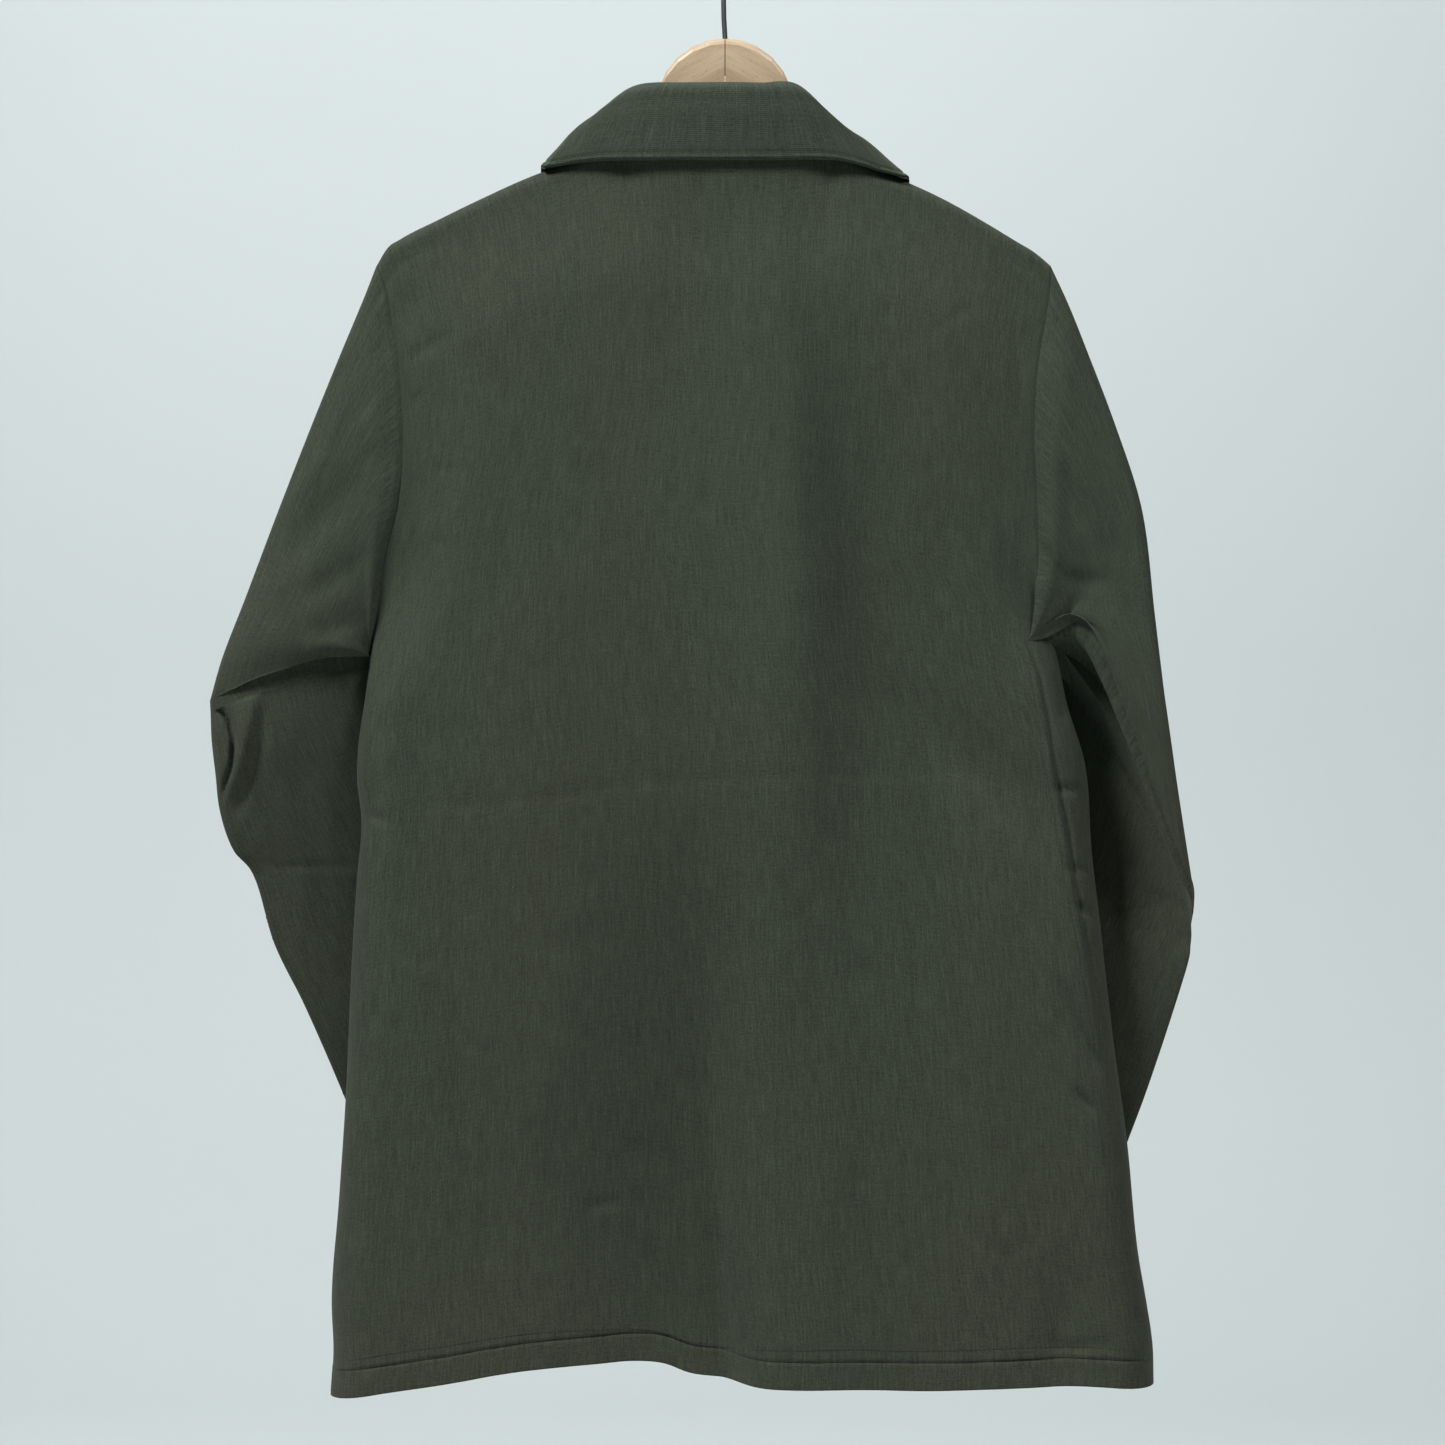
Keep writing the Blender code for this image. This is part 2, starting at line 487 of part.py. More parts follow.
def wall_solid(name, grid, thickness, outward, material_name, closed=False, gap=0.2):
    """Closed wall of even thickness inside a grid of outer points. outward is the rough outside direction."""
    outer = trim(grid, closed, gap)
    normals = tube_normals(outer) if closed else sheet_normals(outer)
    if closed:
        middle = outer.mean(axis=1, keepdims=True)
        side = np.sign((normals[2] * (outer[2] - middle[2])).sum())
    else:
        side = np.sign((normals * np.asarray(outward)).sum())
    on_seam = np.abs(outer[:, :, 1]) < 0.8
    if not closed:
        normals = level_normals(normals, on_seam)
    inner = outer - normals * side * thickness
    row_count, column_count = outer.shape[:2]
    points = np.concatenate([outer.reshape(-1, 3), inner.reshape(-1, 3)])
    shift = row_count * column_count
    spans = column_count if closed else column_count - 1

    def at(row, column, layer):
        return layer * shift + row * column_count + column % column_count

    faces = []
    for row in range(row_count - 1):
        for column in range(spans):
            quad = [at(row, column, 0), at(row, column + 1, 0), at(row + 1, column + 1, 0), at(row + 1, column, 0)]
            faces.append(quad)
            faces.append([index + shift for index in reversed(quad)])
    for row in (0, row_count - 1):
        for column in range(spans):
            faces.append([at(row, column, 0), at(row, column, 1), at(row, column + 1, 1), at(row, column + 1, 0)])
    if not closed:
        for column in (0, column_count - 1):
            for row in range(row_count - 1):
                faces.append([at(row, column, 0), at(row + 1, column, 0), at(row + 1, column, 1), at(row, column, 1)])
    return make_object(name, points, faces, material_name)


def sleeve_ring(section, back_armhole, front_armhole):
    """Closed ring of points of one sleeve section: out along the back, home along the front."""
    outer = np.array(section[0:3])
    inner = np.array(section[3:6])
    back_bulge, front_bulge, seam_share, bow = section[6:10]
    chord = inner - outer
    upward = np.array([-chord[2], 0.0, chord[0]])
    upward = upward / np.linalg.norm(upward)
    seam_start = np.array(back_armhole[0])
    seam_chord = np.array(back_armhole[-1]) - seam_start
    points = []
    last = len(ARMHOLE_ROWS) - 1
    for index in range(2 * last):
        back = index <= last
        row = index if back else 2 * last - index
        even = (1.0 - math.cos(math.pi * row / last)) / 2.0
        share = ARMHOLE_ROWS[row] * seam_share + even * (1.0 - seam_share)
        armhole = back_armhole if back else front_armhole
        bulge = -back_bulge if back else front_bulge
        swell = 2.0 * math.sqrt(max(0.0, share * (1.0 - share)))
        point = outer + chord * share
        point = point + seam_share * (armhole_point(armhole, share) - seam_start - seam_chord * share)
        point = point + upward * bow * 4.0 * share * (1.0 - share)
        point[1] += bulge * swell ** 0.6
        points.append(point)
    return points


def sleeve_grid(sections, back_armhole, front_armhole):
    return np.array([sleeve_ring(section, back_armhole, front_armhole) for section in sections])


def build_back():
    left = side_path(ARMHOLE_BACK_LEFT, SIDE_LEFT)
    right = side_path(ARMHOLE_BACK_RIGHT, SIDE_RIGHT)
    grid = panel_grid(left, right, back_top, HEM_BACK, 1, BACK_FOLDS, side_shares(26), -1.0)
    wall_solid("back", grid, CLOTH_WALL / MM, (0.0, -1.0, 0.0), "shirt_cloth")


def centre_edge(x, count, samples):
    """Straight front edge at a fixed x, with one point for each row of the side."""
    top_z = front_top(x)[0]
    hem_z = table_value(HEM_FRONT, x)
    return [np.array([x, 14.0, top_z * (1.0 - share) + hem_z * share]) for share in samples]


def front_columns(neck_share):
    """Column shares of a front, stretched so that one column ends at the neck point."""
    usual = FRONT_COLUMNS[NECK_COLUMN]
    columns = []
    for share in FRONT_COLUMNS:
        if share <= usual:
            columns.append(share * neck_share / usual)
        else:
            columns.append(neck_share + (share - usual) * (1.0 - neck_share) / (1.0 - usual))
    return columns


def build_front(name, armhole, side, edge_x, lift):
    outer = side_path(armhole, side)
    samples = row_shares(outer)
    edge = centre_edge(edge_x, len(outer), samples)
    neck_x = SHOULDER_LEFT[-1][0] if outer[0][0] < 0.0 else SHOULDER_RIGHT[0][0]
    columns = front_columns((neck_x - outer[0][0]) / (edge_x - outer[0][0]))
    grid = panel_grid(outer, edge, front_top, HEM_FRONT, 2, [], columns, 1.0, centre_right=True)
    for row in grid:
        for point in row:
            closeness = 1.0 - abs(point[0] - edge_x) / 60.0
            point[1] += lift * soft_step(closeness * 2.0)
    wall_solid(name, grid, CLOTH_WALL / MM, (0.0, 1.0, 0.0), "shirt_cloth")


def front_outer_y(x, z):
    """Outer face of the overlapping left front near the middle."""
    top_z, top_depth = front_top(x)
    return stand_off(x, z, 999.0, max(0.0, top_z - z), top_depth, 2, 14.0, [])


def build_placket():
    columns = [-BAND_HALF_WIDTH, -BAND_HALF_WIDTH / 2.0, 0.0, BAND_HALF_WIDTH / 2.0, BAND_HALF_WIDTH]
    rows = []
    for index in range(23):
        share = index / 22.0
        line = []
        for x in columns:
            top_z = front_top(x)[0] - 1.0
            z = top_z * (1.0 - share) + (table_value(HEM_FRONT, x) + 1.0) * share
            line.append((x, front_outer_y(x, z) + 2.4 + 0.3 + BAND_WALL / MM, z))
        rows.append(line)
    wall_solid("placket", np.array(rows), BAND_WALL / MM, (0.0, 1.0, 0.0), "shirt_cloth")


def collar_section(station):
    neck = np.array(station[0:3])
    roll = np.array(station[3:6])
    fall = np.array(station[6:9])
    away = np.array([roll[0] * 0.35, roll[1], 0.0])
    away = away / np.linalg.norm(away)
    up = np.array([0.0, 0.0, 1.0])
    return [
        neck,
        neck * 0.5 + roll * 0.5 - away * 0.8,
        neck * 0.16 + roll * 0.84 - away * 1.4,
        roll - away * 0.2 - up * 0.3,
        roll + away * 3.6,
        roll + away * 6.6 - up * 2.6,
        roll * 0.72 + fall * 0.28 + away * 6.4,
        roll * 0.34 + fall * 0.66 + away * 3.2,
        fall,
    ]


def build_collar():
    knots = [index / (len(COLLAR) - 1) for index in range(len(COLLAR))]
    count = 30
    stations = [smooth_curve(knots, COLLAR, index / count) for index in range(count + 1)]
    grid = np.array([collar_section(station) for station in stations])
    wall = COLLAR_WALL / MM
    normals = sheet_normals(grid)
    middle = len(stations) // 2
    side = 1.0 if normals[middle][-2][1] < 0.0 else -1.0
    outward = normals[middle][-2] * side
    signed = normals * side
    under = grid - signed * (wall + SEAM_GAP / MM)
    weights = np.zeros_like(grid)
    weights[middle, -2] = outward
    wall_solid("upper_collar", grid, wall, weights, "collar_cloth")
    wall_solid("under_collar", under, wall, weights, "collar_cloth", gap=0.8)


def wood_ring(x, top, bottom, half_thickness):
    """Rounded upright section of the hanger at x."""
    half_height = (top - bottom) / 2.0
    middle = (top + bottom) / 2.0
    corner = min(half_thickness, half_height) * 0.999
    points = []
    for index in range(16):
        angle = 2.0 * math.pi * (index + 0.5) / 16.0
        y = half_thickness * math.sin(angle)
        z = middle + (half_height - corner) * (1.0 if math.cos(angle) > 0.0 else -1.0) + corner * math.cos(angle)
        points.append((x, y, z))
    return points


def loft_solid(name, rings, material_name):
    """Closed solid through rings of equal count, with flat ends."""
    count = len(rings[0])
    points = [point for ring in rings for point in ring]
    faces = []
    for row in range(len(rings) - 1):
        for column in range(count):
            following = (column + 1) % count
            faces.append([row * count + column, row * count + following,
                          (row + 1) * count + following, (row + 1) * count + column])
    faces.append(list(range(count)))
    faces.append([(len(rings) - 1) * count + column for column in reversed(range(count))])
    return make_object(name, points, faces, material_name)


def build_hanger_half(name, profile):
    """One half of the hanger, drilled for the hook where the halves meet."""
    half = WOOD_HALF_THICKNESS / MM
    rings = []
    for index, (x, top, bottom) in enumerate(profile):
        share = (len(profile) - 1 - index) / 2.0
        thickness = half if share >= 1.0 else half * (0.62 + 0.38 * share)
        rings.append(wood_ring(x, top, bottom, thickness))
    item = loft_solid(name, rings, "beech_wood")
    bpy.ops.mesh.primitive_cylinder_add(vertices=16, radius=BORE_RADIUS, depth=0.060, location=(0.0, 0.0, -0.0785))
    drill = bpy.context.active_object
    cut = item.modifiers.new("bore", "BOOLEAN")
    cut.operation = "DIFFERENCE"
    cut.solver = "EXACT"
    cut.object = drill
    bpy.context.view_layer.objects.active = item
    bpy.ops.object.modifier_apply(modifier="bore")
    bpy.data.objects.remove(drill, do_unlink=True)
    triangulate(item)


def triangulate(item):
    shape = bmesh.new()
    shape.from_mesh(item.data)
    bmesh.ops.triangulate(shape, faces=list(shape.faces))
    shape.to_mesh(item.data)
    shape.free()


def hook_path():
    """Middle line of the hook wire from inside the wood to its free end."""
    points = [np.array([x, 0.0, z]) for x, z in HOOK_STEM]
    inner = HOOK_INNER_RADIUS / MM
    radius = inner + WIRE_RADIUS / MM
    steps = 22
    for index in range(steps + 1):
        share = index / steps
        angle = math.radians(HOOK_FIRST_ANGLE * (1.0 - share) + HOOK_LAST_ANGLE * share)
        points.append(np.array([radius * math.cos(angle), 0.0, -inner + radius * math.sin(angle)]))
    return points


def build_hook():
    path = np.array(hook_path())
    tangents = np.gradient(path, axis=0)
    rings = []
    for index, (point, tangent) in enumerate(zip(path, tangents)):
        tangent = tangent / np.linalg.norm(tangent)
        across = np.array([-tangent[2], 0.0, tangent[0]])
        radius = WIRE_RADIUS / MM
        if index == len(path) - 1:
            radius = radius * 0.55
        ring = []
        for step in range(12):
            angle = 2.0 * math.pi * step / 12.0
            offset = across * math.cos(angle) + np.array([0.0, 1.0, 0.0]) * math.sin(angle)
            ring.append(point + offset * radius)
        rings.append(ring)
    loft_solid("hook", rings, "hook_steel")


def build_button(name, centre, direction):
    """Round button with a raised rim, seen along a direction."""
    direction = np.array(direction) / np.linalg.norm(direction)
    across = np.array([1.0, 0.0, 0.0]) - direction * direction[0]
    across = across / np.linalg.norm(across)
    upward = np.cross(direction, across)
    radius = BUTTON_RADIUS / MM
    height = BUTTON_HEIGHT / MM
    profile = [(0.82, 0.0), (1.0, 0.45), (0.96, 1.0), (0.74, 1.0), (0.62, 0.70)]
    rings = []
    for share, level in profile:
        ring = []
        for step in range(16):
            angle = 2.0 * math.pi * step / 16.0
            offset = across * math.cos(angle) + upward * math.sin(angle)
            ring.append(np.array(centre) + offset * radius * share + direction * height * level)
        rings.append(ring)
    loft_solid(name, rings, "button_plastic")


def build_buttons():
    for index in range(BUTTON_COUNT):
        z = BUTTON_TOP - BUTTON_STEP * index
        y = front_outer_y(0.0, z) + 2.4 + 0.3 + BAND_WALL / MM + 0.5
        build_button("button_%d" % (index + 1), (0.0, y, z), (0.0, 1.0, 0.0))


def build_cuff_button(name, grid):
    """Button on the hidden front side of a cuff, near its inner edge."""
    last = len(ARMHOLE_ROWS) - 1
    ring = grid[1]
    index = 2 * last - 9
    normal = np.cross(grid[2][index] - grid[0][index], ring[index + 1] - ring[index - 1])
    normal = normal / np.linalg.norm(normal)
    if normal[1] < 0.0:
        normal = -normal
    build_button(name, ring[index] + normal * 0.5, normal)


def build_sleeves():
    wall = CLOTH_WALL / MM
    cuff = CUFF_WALL / MM
    hint = (0.0, 0.0, 0.0)
    sides = [
        ("left", SLEEVE_LEFT, CUFF_LEFT, ARMHOLE_BACK_LEFT, ARMHOLE_FRONT_LEFT, 0.9),
        ("right", SLEEVE_RIGHT, CUFF_RIGHT, ARMHOLE_BACK_RIGHT, ARMHOLE_FRONT_RIGHT, 1.1),
    ]
    for side, sleeve, cuff_rows, back_armhole, front_armhole, gap in sides:
        grid = sleeve_grid(sleeve, back_armhole, front_armhole)
        wall_solid("sleeve_" + side, grid, wall, hint, "shirt_cloth", closed=True, gap=gap)
        cuff_points = sleeve_grid(cuff_rows, back_armhole, front_armhole)
        wall_solid("cuff_" + side, cuff_points, cuff, hint, "shirt_cloth", closed=True)
        build_cuff_button("cuff_button_" + side, cuff_points)


def main():
    clear_scene()
    build_back()
    build_front("front_left", ARMHOLE_FRONT_LEFT, SIDE_LEFT, CENTRE_EDGE, 2.4)
    build_front("front_right", ARMHOLE_FRONT_RIGHT, SIDE_RIGHT, -CENTRE_EDGE, 0.0)
    build_placket()
    build_buttons()
    build_sleeves()
    build_collar()
    build_hanger_half("hanger_half_left", WOOD_LEFT)
    build_hanger_half("hanger_half_right", WOOD_RIGHT)
    build_hook()


main()
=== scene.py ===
"""Looks of the utility shirt on its wooden hanger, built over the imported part.

Tables and sizes are in millimetres in the part's frame: +Z up, the back of the shirt towards -Y, the
wearer's left towards -X. Paths of creases and stitching are given in the middle plane, where the sight line
from VIEW_POINT crosses it.
"""
import math

import bpy
import numpy as np
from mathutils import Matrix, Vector, noise


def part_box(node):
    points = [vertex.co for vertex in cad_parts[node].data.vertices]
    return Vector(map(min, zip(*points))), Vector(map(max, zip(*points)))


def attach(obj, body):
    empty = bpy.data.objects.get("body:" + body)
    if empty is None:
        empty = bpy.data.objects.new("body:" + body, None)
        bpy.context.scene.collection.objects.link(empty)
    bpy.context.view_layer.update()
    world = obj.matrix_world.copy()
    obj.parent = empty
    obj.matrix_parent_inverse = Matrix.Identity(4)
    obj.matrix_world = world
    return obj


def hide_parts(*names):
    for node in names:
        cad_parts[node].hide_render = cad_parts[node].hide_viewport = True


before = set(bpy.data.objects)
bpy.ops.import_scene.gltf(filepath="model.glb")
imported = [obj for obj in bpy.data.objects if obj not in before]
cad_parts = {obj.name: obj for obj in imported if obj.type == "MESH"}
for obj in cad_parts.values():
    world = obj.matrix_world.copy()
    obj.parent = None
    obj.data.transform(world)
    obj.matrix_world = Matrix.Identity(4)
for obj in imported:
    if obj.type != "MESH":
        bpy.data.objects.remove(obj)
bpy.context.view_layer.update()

MM = 0.001

# Camera of the photograph: place in millimetres, focal length and sensor width
VIEW_POINT = (-1.55, -2000.0, -508.75)
LENS = 80.4
SENSOR = 36.0

# Sizes in millimetres
RIDGE_RADIUS = 8.2
ARMHOLE_LENGTH = 240.0
HEM_TURN = 16.7
HEM_PLY = 1.0
STITCH_PITCH = 2.7
STITCH_LENGTH = 2.0
STITCH_WIDTH = 0.5
STITCH_HEIGHT = 0.32
LONGEST_STITCH_GAP = 8.0
SHORTEST_STITCH_GAP = 0.5
BAND_WALL = 1.4
BAND_LIFT = 2.7
CENTRE_EDGE = 18.0
CENTRE_DEPTH = 14.0
COLLAR_WALL = 1.0
SEAM_GAP = 0.3
BUTTON_TOP = -238.0
BUTTON_STEP = 103.0
BUTTON_COUNT = 6
BUTTON_LIFT = 3.2
CUFF_BUTTON_SINK = 1.4
HOLE_OFFSET = 1.5
HOLE_LEVEL = 1.72
THREAD_LEVEL = 2.05
THREAD_REACH = 2.1
THREAD_RISE = 0.45
FAR = 999.0

# Stage: level of the floor, its reach to the sides and the front, start and radius of its bend,
# steps of the bend, top of the wall
FLOOR_LEVEL = -1400.0
STAGE_REACH = 4500.0
BEND_START = 2200.0
BEND_RADIUS = 1000.0
BEND_STEPS = 12
WALL_TOP = 3000.0

# Rows and columns of the meshes
BACK_ARM_ROWS = 110
BACK_SIDE_ROWS = 170
BACK_COLUMNS = 221
FRONT_ARM_ROWS = 80
FRONT_SIDE_ROWS = 110
FRONT_COLUMNS = 66
BAND_ROWS = 240
SLEEVE_HALF = 96
UPPER_ROWS = 104
TUCK_ROWS = 26
LOWER_ROWS = 100
CUFF_HALF = 60
CUFF_ROWS = 40
CUFF_RETURN_ROWS = 12
COLLAR_STATIONS = 191
COLLAR_COLUMNS = 60
SECTION_COLUMNS = 11
HEM_STITCH_POINTS = 120

# Stretch of a panel's edge whose sharp turn at the armpit is evened out: rows, middle height, half height
ARMPIT_ROWS = 27
ARMPIT_LEVEL = -450.0
ARMPIT_REACH = 38.0

# Millimetres of a UV map, and the scale at which a wave texture has one band in a unit of length
UV_MM = (1000.0, 1000.0, 1.0)
WAVE_SCALE = 0.3142

# Colours of the cloth, thread, floor and light, as linear values, and the lights' strengths
SHIRT_GREEN = (0.0362, 0.0472, 0.0318)
SHIRT_BROWN = (0.0420, 0.0462, 0.0325)
COLLAR_GREEN = (0.0445, 0.0590, 0.0420)
COLLAR_BROWN = (0.0455, 0.0580, 0.0415)
# Thread: its own colour, made much darker than the cloth so that it also paints the shade in the stitch
# grooves
THREAD_AND_GROOVE_SHADE_COLOUR = (0.012, 0.016, 0.010)
STAGE_COLOUR = (0.62, 0.675, 0.685)
WORLD_COLOUR = (0.90, 0.96, 1.0)
WORLD_STRENGTH = 0.04
KEY_POWER = 198.0
FILL_POWER = 76.0
TOP_POWER = 1.0
WALL_POWER = 39.0

# Ridge of the cloth over the hanger: x, z
SHOULDER_LEFT = [
    (-215.8, -225.7), (-208.5, -214.2), (-201.5, -209.6), (-177.3, -197.2),
    (-151.9, -184.8), (-118.4, -169.8), (-104, -164.5), (-73, -151),
]
SHOULDER_RIGHT = [
    (73, -156), (102, -169.8), (114, -174.6), (135.8, -184.8), (158.1, -197.2),
    (178.6, -209.6), (193, -218.5), (201.5, -225.7),
]

# Armhole seams from the shoulder down to the armpit: x, y, z
ARMHOLE_BACK_LEFT = [
    (-215.8, 0, -225.7), (-210.7, -7.5, -238.4), (-205.3, -11, -264.6), (-202, -13, -279.9),
    (-199.6, -15, -302.3), (-198.4, -16, -335), (-201.1, -16, -371.9), (-210, -14, -408.7),
    (-214.7, -10, -441.8), (-219.8, 0, -467),
]
ARMHOLE_FRONT_LEFT = [
    (-215.8, 0, -225.7), (-210.7, 7.5, -238.4), (-203.5, 9, -264.6), (-196, 10.5, -302.3),
    (-193.5, 11.5, -335), (-195, 11.5, -371.9), (-204, 10, -408.7), (-211.5, 7, -441.8),
    (-219.8, 0, -467),
]
ARMHOLE_BACK_RIGHT = [
    (201.5, 0, -225.7), (200.9, -7.5, -238.4), (198.2, -9.5, -257), (194.1, -12, -279.8),
    (191.4, -15, -302.3), (190, -16, -335), (191.9, -16, -371.9), (192.4, -17, -401.5),
    (191.5, -17, -428), (194.5, -13, -443), (199.5, -6.5, -451.5), (205, 0, -455.2),
]
ARMHOLE_FRONT_RIGHT = [
    (201.5, 0, -225.7), (200.7, 7.5, -238.4), (196, 9, -264.6), (187.5, 10.5, -302.3),
    (185.5, 11.5, -335), (187, 11.5, -371.9), (190, 11, -408.7), (195, 8, -438),
    (205, 0, -455.2),
]

# Outer sides of the body in the middle plane, from the armpit down to the hem: x, z
SIDE_LEFT = [
    (-219.8, -467), (-223.2, -494.8), (-227.5, -525.8), (-228, -544.4), (-225.4, -567.3), (-228.2, -606.4),
    (-231.3, -656), (-235, -739.7), (-239.3, -804.8), (-243.7, -866.8), (-242.6, -897.8), (-244.3, -923),
]
SIDE_RIGHT = [
    (205, -455.2), (207.5, -475), (211.4, -494.8), (222.6, -532), (227.5, -591.5), (232.5, -633.1),
    (235.6, -661.6), (240.3, -702.5), (249.1, -767.6), (256.7, -842), (261, -866.8), (264.7, -891.6),
    (265.4, -915.8),
]

# Lower edges of the body: x, z
HEM_BACK = [
    (-244.3, -923), (-219.8, -918.7), (-176.4, -912.3), (-121.2, -904.2), (-76.8, -901.7),
    (-56.2, -901.2), (-36.4, -904), (-22.8, -909.6), (-1.9, -912.5), (30.5, -914.5),
    (82, -914.3), (118.4, -915.1), (183.7, -913.1), (214.5, -912.3), (265.4, -915.8),
]
HEM_FRONT = [
    (-244.3, -923), (-200, -913), (-120, -905.5), (-60, -904), (0, -907),
    (100, -909), (200, -908.5), (265.4, -915.8),
]

# How far the back and the front stand off the middle plane: z, back depth, front depth
BODY_DEPTH = [
    (-150, 17, 13), (-200, 19, 15), (-300, 23, 13), (-467, 28, 12),
    (-600, 30, 12), (-780, 33, 12), (-924, 38, 12),
]

# Stations round the collar from its left front end over the back to its right front end:
# neck seam x, y, z; roll line x, y, z; lower edge of the fall x, y, z
COLLAR = [
    (-2.5, 20.5, -225.5, -4, 29, -211, -52, 36, -262),
    (-32, 17.5, -212.5, -36, 28, -199, -76, 32, -240),
    (-56, 11, -186, -66, 20, -177, -98, 24, -211),
    (-62.5, 10.5, -162, -80, 12, -154, -111, 15.5, -188),
    (-67.2, 5.2, -148, -80.5, 7, -141.5, -114, 11.5, -170),
    (-71.5, 0, -148, -78.5, -1, -137, -114, -1, -163.8),
    (-70, -4.8, -148.6, -76, -6.5, -133, -111.5, -10, -165.5),
    (-66, -8, -148.5, -70, -11, -128.5, -105, -11.2, -165),
    (-48, -13.8, -150, -52, -17, -117.6, -78, -14.2, -162),
    (-24, -17.2, -151, -26, -20, -116.6, -38, -19.6, -162.3),
    (0, -18.2, -151.5, 0, -20.5, -116.6, 0, -21.2, -162.5),
    (24, -17.2, -152, 21, -20, -116.6, 26, -20.4, -162.4),
    (48, -13.8, -152, 42, -17, -117.2, 68, -15.4, -161.8),
    (66, -8, -152.5, 62, -11.5, -135, 97, -11.6, -168.5),
    (68.3, -5.6, -152.4, 70, -6.5, -141, 109, -10, -171),
    (69.8, 0.2, -152.6, 75, -1, -146.5, 114, -1, -170.8),
    (68.3, 5.8, -152.5, 79.5, 7, -149, 113.5, 11.5, -176),
    (62.5, 10.5, -166.5, 79, 12, -159, 111, 15.5, -192),
    (56, 11, -189.5, 66, 19, -180, 98, 23, -214),
    (32, 17.5, -214.8, 36, 28, -202, 76, 32, -242),
    (2.5, 20.5, -226, 4, 29, -212, 52, 36, -263),
]

# Broad troughs and ridges of the back in the plane of the view: middle x, z; angle from level in degrees;
# half length; half width on the left; half width on the right; depth, which is minus on a ridge
BACK_FOLDS = [
    (2, -700, 91, 120, 60, 15, 12),
    (-5, -890, 93, 190, 88, 17, 31),
    (40, -440, 91, 210, 36, 30, -13),
    (104, -450, 108, 170, 30, 38, 15),
    (152, -535, 138, 70, 20, 22, 5),
    (-120, -560, 92, 200, 40, 40, -4),
    (160, -780, 92, 130, 40, 46, -4),
    (60, -820, 88, 120, 16, 30, -3),
    (205, -880, 90, 40, 12, 14, 4),
    (-150, -800, 95, 120, 22, 26, 2.5),
    (-30, -250, 84, 70, 30, 30, 1.8),
]

# Creases of the back: half width on the left of the path, on its right, depth, then its points x, z
BACK_CREASES = [
    (5, 2.6, 0.5, [(-205, -564), (-102, -556), (-53, -547), (9, -544), (139, -541), (205, -551)]),
    (4, 5, 1, [(-200, -286), (-184, -276), (-167, -265)]),
    (3, 3, 0.8, [(-194, -312), (-186, -302)]),
    (3.5, 4, 0.7, [(-183, -352), (-158, -352)]),
    (3.5, 4, 0.8, [(-182, -396), (-172, -400)]),
    (3, 4, 0.7, [(128, -266), (141, -258), (154, -250)]),
    (4, 4, 1.3, [(179, -268), (183, -290), (185, -309)]),
    (6, 4, 0.6, [(140, -818), (158, -832), (176, -840), (192, -830), (208, -814)]),
    (5, 5, 0.8, [(78, -791), (90, -795)]),
    (5, 4, 1.6, [(195, -894), (216, -897), (239, -894)]),
    (4, 4, 0.9, [(8, -897), (22, -899)]),
    (4, 3, 1.2, [(-86, -810), (-76, -808), (-64, -806)]),
    (2, 3, 3, [(203, -462), (209, -480), (211, -497), (210, -507)]),
    (2.2, 2.6, 2.4, [(205, -549), (213, -550), (220, -549)]),
    (2.4, 2.4, 2.4, [(212, -600), (221, -599), (229, -602)]),
    (2.4, 2.6, 2.6, [(216, -621), (224, -625), (231, -631)]),
    (3, 6, 3.6, [(207, -668), (214, -686), (222, -705), (233, -726)]),
    (2.4, 3.5, 2.8, [(217, -735), (223, -743), (230, -751)]),
    (5, 4, 2, [(-210, -432), (-213, -480), (-216, -530), (-217, -566)]),
    (4.5, 3, -1.6, [(-221, -571), (-225, -590), (-227, -607)]),
    (2.6, 2.6, 2.2, [(-229, -563), (-220, -566), (-209, -570)]),
    (3, 3, 1, [(-226, -640), (-222, -690), (-224, -730)]),
    (5, 3, 0.8, [(20, -640), (14, -700), (10, -760), (8, -820)]),
    (6, 6, -0.8, [(-150, -700), (-152, -760), (-148, -830)]),
    (4, 5, 0.7, [(118, -640), (124, -668), (122, -700)]),
]

# Soft folds of the two hidden fronts, with the columns of BACK_FOLDS
FRONT_FOLDS = [
    (-130, -420, 82, 130, 26, 18, 2.6),
    (-170, -700, 95, 120, 20, 26, 3),
    (-80, -780, 88, 110, 22, 18, -2.6),
    (-60, -330, 60, 60, 12, 16, 1.6),
    (95, -380, 98, 120, 18, 24, 2.4),
    (150, -640, 84, 130, 24, 20, 3),
    (70, -800, 92, 110, 18, 20, -2.4),
    (200, -790, 90, 100, 14, 18, 2.8),
]

# Felled side seam that shows on the back near the right armpit: x, z
SIDE_SEAM = [
    (187, -459), (191, -467), (195, -477), (200, -503), (204, -532), (208, -553), (212, -573), (218, -612),
    (224, -642), (230, -675), (236, -712),
]

# Lower fold edges of the two upper sleeves, from the outer end to the armpit: x, z
FLAP_LEFT = [
    (-318.7, -495.8), (-311, -492), (-302, -487.6), (-288, -481.5), (-270, -475.5), (-258, -471.2),
    (-246, -468.4), (-232, -467.6), (-218.4, -467.8),
]
FLAP_RIGHT = [
    (288.4, -628), (287.6, -612), (282, -597), (277.1, -584.7), (272, -570.4), (264.7, -550.6),
    (254.6, -522.7), (244.2, -494.8), (233.4, -466.9), (227, -453), (219, -444), (210.5, -441.6),
    (198, -448.5), (186, -458), (204, -458.4),
]

# Where the right armhole seam and the right fold edge meet on the back
ARMPIT_CORNER = (186, -20.4, -458.2)

